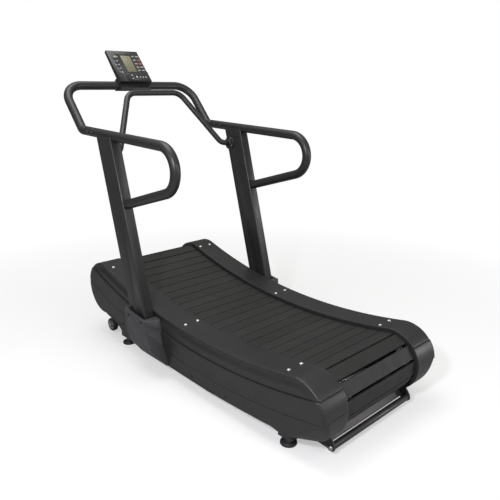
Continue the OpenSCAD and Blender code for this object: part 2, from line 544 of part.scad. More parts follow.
module foot(x, y, top) color([0.07, 0.07, 0.07]) place() translate([x, y, 0]) {
  rotate_extrude($fn = 96) polygon([[0, 0], [foot_r - 2, 0], [foot_r, 2], [foot_r, 9], [foot_r - 5, 14], [14, 18], [10, 24], [0, 24]]);
  cylinder(r = 8, h = top);
  translate([0, 0, 24]) cylinder(r = 12, h = 5.5, $fn = 6);
}
cable_pts = [for (q = [[234.5, -626, 192], [250, -600, 232], [250, 80, 236], [290, 232, 232], [300, 232, 216], [370, 232, 216]]) q - [250, 0, 236]];
module sensor_cable() color([0.05, 0.05, 0.05]) place() translate([250, 0, 236]) tube(cable_pts, [0, 12, 60, 10, 6, 0], 2.5);

union() { side_beam(); mirror([1, 0, 0]) side_beam(); }  // side_beams
cross_tubes();
floor_legs();
bearing_rails();
rail_brackets();
track_bearings();
track_bearing_bolts();
running_slats();
slat_belts();
slat_screws();
front_axle();
front_pulleys();
rear_axle();
rear_pulleys();
speed_magnet();
axle_bearings();
bearing_blocks();
chassis_bolts();
speed_sensor();
sensor_cable();
mirror([1, 0, 0]) top_cover();  // left_top_cover
top_cover();  // right_top_cover
mirror([1, 0, 0]) side_panel();  // left_side_panel
side_panel();  // right_side_panel
mirror([1, 0, 0]) lower_skirt();  // left_lower_skirt
lower_skirt();  // right_lower_skirt
front_cover();
cover_supports();
cover_screws();
trim_screws();
left_upright();
right_upright();
mirror([1, 0, 0]) boot();  // left_boot
boot();  // right_boot
left_handrail();
right_handrail();
front_bar();
rail_joint_fittings();
cross_bar();
console_back();
console_bezel();
console_display();
console_electronics();
battery_door();
up_key();
down_key();
enter_key();
start_key();
stop_key();
mode_key();
rear_plate();
lift_bar();
lift_bar_brackets();
wheel_brackets();
mirror([1, 0, 0]) wheel();  // left_transport_wheel
wheel();  // right_transport_wheel
foot(-300, 515, 90);  // front_left_foot
foot(300, 515, 90);  // front_right_foot
foot(-300, -610, 66);  // rear_left_foot
foot(300, -610, 66);  // rear_right_foot
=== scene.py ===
import math
import random

import bmesh
import bpy
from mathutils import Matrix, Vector


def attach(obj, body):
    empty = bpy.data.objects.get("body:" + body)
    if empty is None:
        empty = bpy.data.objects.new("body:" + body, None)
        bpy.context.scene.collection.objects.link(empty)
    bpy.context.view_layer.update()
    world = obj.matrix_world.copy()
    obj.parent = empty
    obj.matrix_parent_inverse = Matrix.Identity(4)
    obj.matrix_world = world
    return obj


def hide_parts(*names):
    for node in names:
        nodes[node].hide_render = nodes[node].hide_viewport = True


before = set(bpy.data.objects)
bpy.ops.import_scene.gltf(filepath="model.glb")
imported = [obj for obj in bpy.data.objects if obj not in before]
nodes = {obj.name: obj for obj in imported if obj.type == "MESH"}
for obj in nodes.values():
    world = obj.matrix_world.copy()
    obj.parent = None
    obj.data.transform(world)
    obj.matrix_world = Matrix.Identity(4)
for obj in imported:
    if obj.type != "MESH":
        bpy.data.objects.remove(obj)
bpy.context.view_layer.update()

random.seed(7)
scene = bpy.context.scene
MID = 73.13  # deck-frame millimetres to row-frame metres


def mm(x, y, z):
    return (x / 1000, (y - MID) / 1000, z / 1000)


# ------------------------------------------------------------------ materials
def blank(name):
    m = bpy.data.materials.new(name)
    m.use_nodes = True
    nt = m.node_tree
    nt.nodes.clear()
    out = nt.nodes.new("ShaderNodeOutputMaterial")
    b = nt.nodes.new("ShaderNodeBsdfPrincipled")
    nt.links.new(b.outputs[0], out.inputs[0])
    return m, nt, b


def noise(nt, scale, detail=4, rough=0.55, stretch=None, distortion=0.0):
    tc = nt.nodes.new("ShaderNodeTexCoord")
    vec = tc.outputs["Object"]
    if stretch:
        mp = nt.nodes.new("ShaderNodeMapping")
        mp.inputs["Scale"].default_value = stretch
        nt.links.new(vec, mp.inputs["Vector"])
        vec = mp.outputs["Vector"]
    n = nt.nodes.new("ShaderNodeTexNoise")
    n.inputs["Scale"].default_value = scale
    n.inputs["Detail"].default_value = detail
    n.inputs["Roughness"].default_value = rough
    n.inputs["Distortion"].default_value = distortion
    nt.links.new(vec, n.inputs["Vector"])
    return n.outputs["Fac"]


def ramp(nt, fac, stops):
    r = nt.nodes.new("ShaderNodeValToRGB")
    nt.links.new(fac, r.inputs["Fac"])
    el = r.color_ramp.elements
    while len(el) < len(stops):
        el.new(0.5)
    for e, (p, c) in zip(el, stops):
        e.position = p
        e.color = (*c, 1) if len(c) == 3 else c
    return r.outputs["Color"]


def spread(nt, fac, lo, hi, a=0.3, b=0.7):
    r = nt.nodes.new("ShaderNodeMapRange")
    nt.links.new(fac, r.inputs["Value"])
    r.inputs["From Min"].default_value = a
    r.inputs["From Max"].default_value = b
    r.inputs["To Min"].default_value = lo
    r.inputs["To Max"].default_value = hi
    return r.outputs["Result"]


def mixc(nt, fac, a, b, mode="MIX"):
    m = nt.nodes.new("ShaderNodeMix")
    m.data_type = "RGBA"
    m.blend_type = mode
    if isinstance(fac, float):
        m.inputs[0].default_value = fac
    else:
        nt.links.new(fac, m.inputs[0])
    for i, v in ((6, a), (7, b)):
        if isinstance(v, tuple):
            m.inputs[i].default_value = (*v, 1)
        else:
            nt.links.new(v, m.inputs[i])
    return m.outputs[2]


def mul(nt, a, b, op="MULTIPLY"):
    m = nt.nodes.new("ShaderNodeMath")
    m.operation = op
    for i, v in ((0, a), (1, b)):
        if isinstance(v, (int, float)):
            m.inputs[i].default_value = v
        else:
            nt.links.new(v, m.inputs[i])
    return m.outputs[0]


def bump(nt, b, height, strength, dist, prev=None):
    n = nt.nodes.new("ShaderNodeBump")
    n.inputs["Strength"].default_value = strength
    n.inputs["Distance"].default_value = dist
    nt.links.new(height, n.inputs["Height"])
    if prev is not None:
        nt.links.new(prev, n.inputs["Normal"])
    nt.links.new(n.outputs["Normal"], b.inputs["Normal"])
    return n.outputs["Normal"]


def edges_worn(nt, lo=0.53, hi=0.60):
    g = nt.nodes.new("ShaderNodeNewGeometry")
    e = spread(nt, g.outputs["Pointiness"], 0.0, 1.0, lo, hi)
    return mul(nt, e, spread(nt, noise(nt, 60, 5), 0.2, 1.0))


def surface(name, dark, light, rough=(0.42, 0.56), patch=7.0, grain=1400.0, grain_depth=0.00012, grain_strength=0.35, spec=0.5, metal=0.0,
            wear=None, wear_amount=0.5, scratch=0.0, dust=0.0, coat=0.0, coat_rough=0.2, waves=0.0):
    m, nt, b = blank(name)
    n1 = noise(nt, patch, 5, 0.6)
    n2 = noise(nt, patch * 9, 4, 0.5)
    col = ramp(nt, n1, [(0.30, dark), (0.72, light)])
    col = mixc(nt, spread(nt, n2, 0.0, 0.22), col, tuple(min(1, c * 1.25 + 0.002) for c in light))
    if dust:
        d = noise(nt, 420, 3, 0.7)
        col = mixc(nt, mul(nt, spread(nt, d, 0.0, 1.0, 0.62, 0.8), dust), col, (0.35, 0.34, 0.33))
    if wear:
        col = mixc(nt, mul(nt, edges_worn(nt), wear_amount), col, wear)
    nt.links.new(col, b.inputs["Base Color"])
    r = spread(nt, noise(nt, patch * 3, 6, 0.6), rough[0], rough[1])
    if scratch:
        s = noise(nt, 40, 3, 0.6, stretch=(1, 14, 14))
        r = mul(nt, r, mul(nt, spread(nt, s, 0.0, scratch, 0.55, 0.75), r, "MULTIPLY"), "ADD")
    nt.links.new(r, b.inputs["Roughness"])
    b.inputs["Metallic"].default_value = metal
    b.inputs["Specular IOR Level"].default_value = spec
    if coat:
        b.inputs["Coat Weight"].default_value = coat
        b.inputs["Coat Roughness"].default_value = coat_rough
    prev = None
    if waves:
        prev = bump(nt, b, noise(nt, 14, 2, 0.4), waves, 0.002)
    bump(nt, b, noise(nt, grain, 3, 0.6), grain_strength, grain_depth, prev)
    return m


def brushed(name, dark, light, along, rough=(0.25, 0.4), metal=1.0, strength=0.25):
    m, nt, b = blank(name)
    st = {"x": (1.2, 90, 90), "y": (90, 1.2, 90), "z": (90, 90, 1.2)}[along]
    fine = noise(nt, 22, 6, 0.7, stretch=st)
    big = noise(nt, 5, 4)
    col = mixc(nt, spread(nt, fine, 0.0, 0.6), ramp(nt, big, [(0.3, dark), (0.7, light)]), tuple(c * 1.15 for c in light))
    nt.links.new(col, b.inputs["Base Color"])
    nt.links.new(spread(nt, mul(nt, fine, spread(nt, big, 0.8, 1.2)), rough[0], rough[1], 0.25, 0.75), b.inputs["Roughness"])
    b.inputs["Metallic"].default_value = metal
    bump(nt, b, fine, strength, 0.0002)
    return m


M = {}
M["cover"] = surface("moulded_cover", (0.0188, 0.0180, 0.0180), (0.0240, 0.0231, 0.0230), rough=(0.35, 0.45), patch=3.5, grain=1100, grain_depth=0.00016,
                     grain_strength=0.4, spec=0.42, wear=(0.075, 0.073, 0.073), wear_amount=0.35, dust=0.05, scratch=0.15, waves=0.03)
M["boot"] = surface("moulded_boot", (0.0310, 0.0298, 0.0335), (0.0390, 0.0376, 0.0420), rough=(0.42, 0.55), patch=6, grain=1000, grain_depth=0.00018,
                    grain_strength=0.45, spec=0.42, wear=(0.085, 0.083, 0.086), wear_amount=0.4, dust=0.05)
M["paint"] = surface("powder_coat", (0.0170, 0.0167, 0.0170), (0.0215, 0.0211, 0.0214), rough=(0.33, 0.43), patch=5, grain=2200, grain_depth=0.00010,
                     grain_strength=0.12, spec=0.5, wear=(0.09, 0.09, 0.095), wear_amount=0.12, dust=0.03)
M["steel"] = surface("chassis_paint", (0.016, 0.016, 0.017), (0.024, 0.024, 0.025), rough=(0.4, 0.55), patch=8, grain=1800, wear=(0.12, 0.11, 0.10),
                     wear_amount=0.4, dust=0.12)
M["belt"] = surface("belt_rubber", (0.008, 0.008, 0.008), (0.014, 0.014, 0.014), rough=(0.7, 0.85), patch=12, grain=700, dust=0.1)
M["axle"] = brushed("turned_steel", (0.35, 0.35, 0.36), (0.5, 0.5, 0.51), "x")
M["bearing"] = brushed("ground_steel", (0.45, 0.45, 0.46), (0.6, 0.6, 0.61), "x", rough=(0.18, 0.3))
M["bolt"] = surface("zinc_plate", (0.36, 0.34, 0.30), (0.52, 0.50, 0.45), rough=(0.25, 0.42), patch=60, grain=2500, metal=1.0, wear=(0.7, 0.68, 0.62))
M["bright"] = surface("bright_zinc", (0.74, 0.74, 0.74), (0.92, 0.92, 0.91), rough=(0.30, 0.45), patch=90, grain=2600, metal=0.75, spec=0.6)
M["dark_screw"] = surface("black_oxide", (0.004, 0.004, 0.0045), (0.008, 0.008, 0.0085), rough=(0.42, 0.55), patch=90, grain=2600, metal=0.2)
M["fitting"] = surface("black_fitting", (0.022, 0.022, 0.023), (0.035, 0.035, 0.036), rough=(0.28, 0.4), patch=90, grain=2600, metal=0.4, wear=(0.25, 0.25, 0.26))
M["pulley"] = surface("cast_pulley", (0.05, 0.05, 0.053), (0.08, 0.08, 0.083), rough=(0.4, 0.6), patch=20, metal=0.6)
M["sensor"] = surface("sensor_shell", (0.010, 0.010, 0.010), (0.016, 0.016, 0.016), patch=40)
M["cable"] = surface("cable_jacket", (0.008, 0.008, 0.008), (0.014, 0.014, 0.014), rough=(0.5, 0.6), patch=40)
M["case"] = surface("console_case", (0.0175, 0.0170, 0.0178), (0.0235, 0.0228, 0.0238), rough=(0.36, 0.48), patch=18, grain=1600, grain_depth=0.00012,
                    grain_strength=0.4, spec=0.5, wear=(0.08, 0.08, 0.082), wear_amount=0.35, dust=0.04)
M["face"] = surface("console_film", (0.0145, 0.0142, 0.0155), (0.0190, 0.0185, 0.0200), rough=(0.26, 0.36), patch=16, grain=2400, grain_strength=0.15,
                    spec=0.5, dust=0.03)
M["board"] = surface("circuit_board", (0.02, 0.08, 0.04), (0.03, 0.13, 0.06), rough=(0.3, 0.4), patch=60)
M["key"] = surface("key_light", (0.46, 0.46, 0.46), (0.60, 0.60, 0.59), rough=(0.4, 0.55), patch=120, grain=2600)
M["mark"] = surface("mark_ink", (0.30, 0.30, 0.31), (0.40, 0.40, 0.41), rough=(0.45, 0.6), patch=150, grain=2600)
M["mark_red"] = surface("mark_red", (0.30, 0.060, 0.055), (0.40, 0.085, 0.08), rough=(0.45, 0.6), patch=150, grain=2600)
M["key_dark"] = surface("key_dark", (0.020, 0.020, 0.021), (0.030, 0.030, 0.031), rough=(0.4, 0.5), patch=120, grain=2600)
M["lamp"] = surface("lamp_lens", (0.50, 0.50, 0.48), (0.62, 0.61, 0.60), rough=(0.2, 0.3), patch=120, coat=0.5)
M["tread"] = surface("wheel_tread", (0.010, 0.010, 0.010), (0.017, 0.017, 0.017), rough=(0.55, 0.7), patch=30, grain=900, grain_strength=0.5, dust=0.12)
M["hub"] = surface("wheel_hub", (0.026, 0.025, 0.026), (0.040, 0.039, 0.040), rough=(0.3, 0.42), patch=40, grain=1500, wear=(0.12, 0.12, 0.12))
M["foot"] = surface("foot_rubber", (0.011, 0.011, 0.0115), (0.019, 0.019, 0.020), rough=(0.45, 0.6), patch=25, grain=1200, dust=0.1)
M["bar"] = surface("lift_bar_gloss", (0.012, 0.012, 0.012), (0.018, 0.018, 0.018), rough=(0.50, 0.60), patch=20, grain=1800, grain_strength=0.12, coat=0.3,
                   wear=(0.12, 0.12, 0.12), scratch=0.4)
M["plate"] = brushed("brushed_plate", (0.070, 0.066, 0.070), (0.12, 0.113, 0.118), "x", rough=(0.46, 0.60), metal=0.8, strength=0.3)


M["lobe"] = surface("pale_nylon", (0.17, 0.165, 0.16), (0.24, 0.235, 0.225), rough=(0.35, 0.5), patch=60, grain=2200)


def slat_material():
    m, nt, b = blank("slat_rubber")
    at = nt.nodes.new("ShaderNodeAttribute")
    at.attribute_name = "along"
    big = noise(nt, 6, 5, 0.6)
    tone = nt.nodes.new("ShaderNodeAttribute")
    tone.attribute_name = "tone"
    col = ramp(nt, big, [(0.30, (0.0128, 0.0124, 0.0119)), (0.72, (0.0168, 0.0163, 0.0157))])
    col = mixc(nt, mul(nt, tone.outputs["Fac"], 0.35), col, (0.0285, 0.0278, 0.0270))
    speck = noise(nt, 380, 3, 0.7)
    col = mixc(nt, mul(nt, spread(nt, speck, 0.0, 1.0, 0.62, 0.8), 0.10), col, (0.30, 0.29, 0.28))
    foot = noise(nt, 2.6, 3, 0.5)
    col = mixc(nt, mul(nt, spread(nt, foot, 0.0, 1.0, 0.5, 0.75), 0.12), col, (0.055, 0.052, 0.050))
    nt.links.new(col, b.inputs["Base Color"])
    nt.links.new(spread(nt, noise(nt, 30, 5, 0.6), 0.52, 0.66), b.inputs["Roughness"])
    b.inputs["Specular IOR Level"].default_value = 0.42
    w = mul(nt, mul(nt, at.outputs["Fac"], 2 * math.pi / 3.2), 0.0, "ADD")
    s = mul(nt, w, 0.0, "SINE")
    p = bump(nt, b, s, 0.25, 0.00035)
    bump(nt, b, noise(nt, 1300, 3, 0.6), 0.4, 0.00014, p)
    return m


M["slat"] = slat_material()


def lcd_material():
    m, nt, b = blank("lcd_panel")
    tc = nt.nodes.new("ShaderNodeTexCoord")
    sep = nt.nodes.new("ShaderNodeSeparateXYZ")
    nt.links.new(tc.outputs["Generated"], sep.inputs[0])
    # painted shading: the panel's base colour runs from darker at its bottom edge to lighter at its top edge
    col = ramp(nt, sep.outputs["Z"], [(0.0, (0.135, 0.135, 0.075)), (1.0, (0.205, 0.205, 0.125))])
    col = mixc(nt, spread(nt, noise(nt, 300, 3), 0.0, 0.25), col, (0.24, 0.24, 0.16))
    nt.links.new(col, b.inputs["Base Color"])
    nt.links.new(spread(nt, noise(nt, 60, 3), 0.34, 0.44), b.inputs["Roughness"])
    b.inputs["Coat Weight"].default_value = 0.15
    b.inputs["Coat Roughness"].default_value = 0.12
    bump(nt, b, noise(nt, 900, 2), 0.06, 0.0001)
    return m


M["lcd"] = lcd_material()


# ------------------------------------------------------------------ mesh helpers
def add(name, verts, faces, mat, body, smooth=40, interior=None, thick=None, bevel=None, replaces=(), attrs=None, subd=0):
    me = bpy.data.meshes.new(name)
    me.from_pydata([tuple(v) for v in verts], [], faces)
    me.update()
    if attrs:
        for k, vals in attrs.items():
            a = me.attributes.new(k, "FLOAT", "POINT")
            a.data.foreach_set("value", vals)
    bm = bmesh.new()
    bm.from_mesh(me)
    if interior is None and not thick:
        bmesh.ops.remove_doubles(bm, verts=bm.verts, dist=1e-7)
        bmesh.ops.recalc_face_normals(bm, faces=bm.faces)
    if interior is not None:
        total = sum((f.normal.dot(f.calc_center_median() - Vector(interior(f.calc_center_median())))) * f.calc_area() for f in bm.faces)
        if total < 0:
            bmesh.ops.reverse_faces(bm, faces=bm.faces)
    bm.to_mesh(me)
    bm.free()
    ob = bpy.data.objects.new(name, me)
    scene.collection.objects.link(ob)
    me.materials.append(mat)
    for p in me.polygons:
        p.use_smooth = True
    me.set_sharp_from_angle(angle=math.radians(smooth))
    if thick:
        s = ob.modifiers.new("thickness", "SOLIDIFY")
        s.thickness = thick / 1000
        s.offset = -1
        s.use_even_offset = False
    if bevel:
        bv = ob.modifiers.new("edges", "BEVEL")
        bv.width = bevel / 1000
        bv.segments = 3
        bv.limit_method = "ANGLE"
        bv.angle_limit = math.radians(35)
        bv.harden_normals = True
    if subd:
        sd = ob.modifiers.new("smooth", "SUBSURF")
        sd.levels = sd.render_levels = subd
    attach(ob, body)
    if replaces:
        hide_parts(*replaces)
    return ob


def grid(nu, nv, close_v=False):
    f = []
    for i in range(nu - 1):
        for j in range(nv - (0 if close_v else 1)):
            k = (j + 1) % nv
            f.append((i * nv + j, i * nv + k, (i + 1) * nv + k, (i + 1) * nv + j))
    return f


def mirrored(verts):
    return [(-x, y, z) for x, y, z in verts]


def cad(mat, *names, bevel=None, angle=30, segments=2, dissolve=0.06):
    for n in names:
        o = nodes[n]
        o.data.materials.clear()
        o.data.materials.append(mat)
        for p in o.data.polygons:
            p.use_smooth = True
            p.material_index = 0
        w = o.modifiers.new("weld", "WELD")
        w.merge_threshold = 0.00002
        if bevel:
            if dissolve:
                d = o.modifiers.new("flat", "DECIMATE")
                d.decimate_type = "DISSOLVE"
                d.angle_limit = math.radians(dissolve)
            bv = o.modifiers.new("edges", "BEVEL")
            bv.width = bevel / 1000
            bv.segments = segments
            bv.limit_method = "ANGLE"
            bv.angle_limit = math.radians(angle)
            bv.harden_normals = True
            bv.use_clamp_overlap = True


def unit(v):
    return v / v.length


def rounded_path(points, radii, step=6.0):
    """Corner points with bend radii to an evenly rounded centre line."""
    pts = [Vector(p) for p in points]
    out = [pts[0]]
    for i in range(1, len(pts) - 1):
        a, b = unit(pts[i] - pts[i - 1]), unit(pts[i + 1] - pts[i])
        turn = a.angle(b)
        t = radii[i] * math.tan(turn / 2)
        p1 = pts[i] - a * t
        n = unit(a.cross(b))
        inward = n.cross(a)
        c = p1 + inward * radii[i]
        k = max(6, int(math.degrees(turn) / 3))
        for j in range(k + 1):
            q = turn * j / k
            out.append(c - inward * radii[i] * math.cos(q) + a * radii[i] * math.sin(q))
    out.append(pts[-1])
    return out


def tube(name, points, radii, r, mat, body="chassis", segs=40, replaces=(), extra=None):
    path = rounded_path(points, radii)
    full = [path[0]]
    for a, b in zip(path, path[1:]):
        n = max(1, int((b - a).length / 60))
        for j in range(1, n + 1):
            full.append(a.lerp(b, j / n))
    verts, faces = [], []
    t = unit(full[1] - full[0])
    up = unit(t.orthogonal())
    rings = []
    for i, p in enumerate(full):
        nt_ = unit((full[min(i + 1, len(full) - 1)] - full[max(i - 1, 0)]))
        up = unit(up - nt_ * up.dot(nt_))
        side = nt_.cross(up)
        rings.append((p, nt_, up, side))
    # softly rounded ends
    ends = [(0.0, 0.90), (0.8, 1.0)]
    rows = []
    p, d, u, s = rings[0]
    rows += [(p, u, s, r - 1.0), (p + d * 0.9, u, s, r)]
    rows += [(p_, u_, s_, r) for p_, d_, u_, s_ in rings[1:-1]]
    p, d, u, s = rings[-1]
    rows += [(p - d * 0.9, u, s, r), (p, u, s, r - 1.0)]
    for p, u, s, rr in rows:
        for k in range(segs):
            a = 2 * math.pi * k / segs
            v = p + (u * math.cos(a) + s * math.sin(a)) * rr
            verts.append(mm(*v))
    faces = grid(len(rows), segs, close_v=True)
    faces.append(tuple(range(segs)))
    faces.append(tuple(reversed([(len(rows) - 1) * segs + k for k in range(segs)])))
    if extra:
        ev, ef = extra
        base = len(verts)
        verts += ev
        faces += [tuple(i + base for i in f) for f in ef]
    return add(name, verts, faces, mat, body, smooth=50, replaces=replaces)


def lathe_mesh(profile, origin, axis, segs=64, spin=0.0):
    """profile: (radius, along) pairs, closed by the axis or as a loop; axis is a unit Vector."""
    axis = unit(Vector(axis))
    u = unit(axis.orthogonal()) if abs(axis.x) < 0.9 else Vector((0, 0, 1))
    u = unit(u - axis * u.dot(axis))
    w = axis.cross(u)
    verts, faces = [], []
    for k in range(segs):
        a = 2 * math.pi * k / segs + spin
        d = u * math.cos(a) + w * math.sin(a)
        for r, h in profile:
            verts.append(mm(*(Vector(origin) + axis * h + d * r)))
    n = len(profile)
    for k in range(segs):
        k2 = (k + 1) % segs
        for j in range(n - 1):
            faces.append((k * n + j, k * n + j + 1, k2 * n + j + 1, k2 * n + j))
    return verts, faces


def lathe(name, profile, origin, axis, mat, body, segs=64, replaces=(), smooth=32, bevel=None):
    v, f = lathe_mesh(profile, origin, axis, segs)
    return add(name, v, f, mat, body, smooth=smooth, replaces=replaces, bevel=bevel)


# ------------------------------------------------------------------ side-view curves of the deck (millimetres, deck frame)
R, ZC, YC, TR = 2600.0, 2869.0, -170.0, 130.0
FY, RY = 667.0, -686.0


def roller_z(y):
    return ZC - math.sqrt((R + TR) ** 2 - (y - YC) ** 2)


FZ, RZ = roller_z(FY), roller_z(RY)
TH_F, TH_R = math.asin((FY - YC) / (R + TR)), math.asin((RY - YC) / (R + TR))
LOOP, TOP_D, SEAM_D = 114.0, 70.0, 150.0
LIP, RIDGE, PANEL = 223.6, 349.0, 355.0


def trim_z(y, o=0.0):
    return ZC - math.sqrt((R + o) ** 2 - (y - YC) ** 2)


def disc_gap(y, z, d):
    return math.hypot(y - YC, z - ZC) - (R + d)


def solve(f, a, b, n=60):
    fa = f(a)
    for _ in range(n):
        m = (a + b) / 2
        fm = f(m)
        if (fm > 0) == (fa > 0):
            a, fa = m, fm
        else:
            b = m
    return (a + b) / 2


def seam_angle(cy, cz, r, d, front):
    a0 = math.pi / 2 + (TH_F if front else TH_R)
    a1 = a0 + (-1.9 if front else 1.9)
    return solve(lambda a: disc_gap(cy + r * math.cos(a), cz + r * math.sin(a), d), a0, a1)


def lip_corner(d, off, front):
    """Where the end wall, moved in by off, meets the curve that lies d below the ridge."""
    cy, cz = (FY, FZ) if front else (RY, RZ)
    r = TR - off
    a = seam_angle(cy, cz, r, d, front)
    return cy + r * math.cos(a), cz + r * math.sin(a), a


def outline_sections(d, n_end=30, n_deck=110):
    """(y, z, ny, nz) along the ridge, from the rear seam over the rear roller, along the deck and over the front roller."""
    out = []
    a0, a1 = math.pi / 2 + TH_R, seam_angle(RY, RZ, TR, d, False)
    for i in range(n_end):
        a = a1 + (a0 - a1) * i / n_end
        out.append((RY + TR * math.cos(a), RZ + TR * math.sin(a), math.cos(a), math.sin(a)))
    for i in range(n_deck + 1):
        t = TH_R + (TH_F - TH_R) * i / n_deck
        out.append((YC + R * math.sin(t), ZC - R * math.cos(t), -math.sin(t), math.cos(t)))
    a0, a1 = math.pi / 2 + TH_F, seam_angle(FY, FZ, TR, d, True)
    for i in range(1, n_end + 1):
        a = a0 + (a1 - a0) * i / n_end
        out.append((FY + TR * math.cos(a), FZ + TR * math.sin(a), math.cos(a), math.sin(a)))
    return out


# ------------------------------------------------------------------ top covers
RIDGE_R = 9.0


def wall_x(v, depth=200.0):
    """Side wall of the top cover: rounded ridge, a scooped channel under it, then a gentle swell down to the seam."""
    if v < RIDGE_R:
        return RIDGE - RIDGE_R + math.sqrt(max(0.0, RIDGE_R ** 2 - (RIDGE_R - v) ** 2))
    x = RIDGE
    if v < 44:
        q = (v - RIDGE_R) / (44 - RIDGE_R)
        x -= 9.5 * min(1.0, max(0.0, (depth - 24.0) / 55.0)) * math.sin(math.pi * q ** 0.55) ** 1.4
    if v > TOP_D - 2.2:
        x += 0.6 * (v - TOP_D + 2.2) / 2.2
    return x


def top_cover(side):
    K = 26
    secs = outline_sections(TOP_D - 0.5)
    verts = []
    for i, (y, z, ny, nz) in enumerate(secs):
        deep = 44.0 + 28.0 * max(0.0, min(1.0, (36 - min(i, len(secs) - 1 - i)) / 12))
        depth = solve(lambda v: disc_gap(y - ny * v, z - nz * v, TOP_D - 0.5), 0, 119) if disc_gap(y, z, TOP_D - 0.5) < 0 else 0.0
        prof = [(LIP + 0.8, deep), (LIP + 0.5, 28.0), (LIP + 0.2, 13.0), (LIP, 7.5), (LIP, 3.0), (LIP + 0.25, 1.6), (LIP + 1.1, 0.6), (LIP + 2.6, 0.1), (LIP + 5.0, 0.0)]
        for k in range(1, 9):
            prof.append((LIP + 5 + (RIDGE - RIDGE_R - LIP - 5) * k / 8, -0.0))
        for k in range(1, K + 1):
            v = depth * (k / K) ** 1.7
            prof.append((wall_x(v, depth), v))
        for x, v in prof:
            verts.append(mm(side * x, y - ny * v, z - nz * v))
    n = 9 + 8 + K
    faces = grid(len(secs), n)
    name = ("right" if side > 0 else "left") + "_top_cover"
    return add(name + "_shell", verts, faces, M["cover"], "chassis", smooth=55, thick=3.2,
               interior=lambda c: (side * 0.290, max(-0.72, min(0.58, c.y)), c.z - 0.06 if abs(c.x) < 0.33 else c.z - 0.02), replaces=[name])


# ------------------------------------------------------------------ side panels
def panel_row(d, off, side, n_side=120):
    r = 13.0
    xo = PANEL - off
    pts = []
    y, z, a = lip_corner(d, off, False)
    q = 50.0 / TR
    pts.append((LIP + 0.8, y + (RY - y) * q, z + (RZ - z) * q))
    pts.append((LIP + 0.3, y + (RY - y) * q * 0.2, z + (RZ - z) * q * 0.2))
    for k in range(9):
        pts.append((LIP + (xo - r - LIP) * k / 8, y, z))
    t0 = math.asin((y - YC) / (R + d))
    for k in range(1, 8):
        q = math.pi / 2 * k / 8
        s = r - r * math.cos(q)
        t = t0 + s / (R + d)
        pts.append((xo - r + r * math.sin(q), YC + (R + d) * math.sin(t), ZC - (R + d) * math.cos(t)))
    y2, z2, _ = lip_corner(d, off, True)
    t1 = math.asin((y2 - YC) / (R + d))
    ta, tb = t0 + r / (R + d), t1 - r / (R + d)
    for k in range(n_side + 1):
        t = ta + (tb - ta) * k / n_side
        pts.append((xo, YC + (R + d) * math.sin(t), ZC - (R + d) * math.cos(t)))
    for k in range(7, 0, -1):
        q = math.pi / 2 * k / 8
        s = r - r * math.cos(q)
        t = t1 - s / (R + d)
        pts.append((xo - r + r * math.sin(q), YC + (R + d) * math.sin(t), ZC - (R + d) * math.cos(t)))
    for k in range(8, -1, -1):
        pts.append((LIP + (xo - r - LIP) * k / 8, y2, z2))
    q = 50.0 / TR
    pts.append((LIP + 0.3, y2 + (FY - y2) * q * 0.2, z2 + (FZ - z2) * q * 0.2))
    pts.append((LIP + 0.8, y2 + (FY - y2) * q, z2 + (FZ - z2) * q))
    return [(side * x, yy, zz) for x, yy, zz in pts]


def cut(ob, outline, x0):
    """Opens a sheet piece inside a side-view outline, before its thickness is added."""
    bm = bmesh.new()
    bm.from_mesh(ob.data)
    pts = [Vector(mm(0, y, z)) for y, z in outline]
    ya, yb = min(p.y for p in pts) - 0.03, max(p.y for p in pts) + 0.03
    for a, b in zip(pts, pts[1:] + pts[:1]):
        near = [f for f in bm.faces if abs(f.calc_center_median().x) > x0 / 1000 and ya < f.calc_center_median().y < yb]
        geom = set(near)
        for f in near:
            geom.update(f.edges)
            geom.update(f.verts)
        d = b - a
        bmesh.ops.bisect_plane(bm, geom=list(geom), dist=1e-6, plane_co=a, plane_no=Vector((0, -d.z, d.y)))

    def inside(c):
        sign = [(b - a).y * (c.z - a.z) - (b - a).z * (c.y - a.y) for a, b in zip(pts, pts[1:] + pts[:1])]
        return all(q > 0 for q in sign) or all(q < 0 for q in sign)
    gone = [f for f in bm.faces if abs(f.calc_center_median().x) > x0 / 1000 and inside(f.calc_center_median())]
    bmesh.ops.delete(bm, geom=gone, context="FACES")
    bm.to_mesh(ob.data)
    bm.free()


BOOT_CUT = [(150, 262), (331, 285), (322, 220), (308, 142), (296, 40), (76, 40), (121, 142), (138, 220)]


def side_panel(side):
    lo, hi = TOP_D + 0.5, SEAM_D - 0.5
    rows = [(lo + 0.3, 12.0), (lo, 3.2), (lo + 0.4, 1.9), (lo + 1.2, 0.9), (lo + 2.6, 0.25), (lo + 5, 0.0)]
    rows += [(lo + 5 + (hi - lo - 9) * k / 9, -1.2 * math.sin(math.pi * k / 9) * 0.0) for k in range(1, 9)]
    rows += [(hi - 4, 0.0), (hi - 1.8, 0.2), (hi - 0.7, 0.7), (hi, 1.6), (hi, 4.0)]
    verts = []
    for d, off in rows:
        verts += [mm(*p) for p in panel_row(d, off, side)]
    n = len(verts) // len(rows)
    name = ("right" if side > 0 else "left") + "_side_panel"
    ob = add(name + "_shell", verts, grid(len(rows), n), M["cover"], "chassis", smooth=50, thick=3.2,
             interior=lambda c: (side * 0.29, max(-0.70, min(0.55, c.y)), c.z), replaces=[name])
    cut(ob, BOOT_CUT, 338)
    return ob


# ------------------------------------------------------------------ lower skirts
def lerp(a, b, t):
    return tuple(x + (y - x) * t for x, y in zip(a, b))


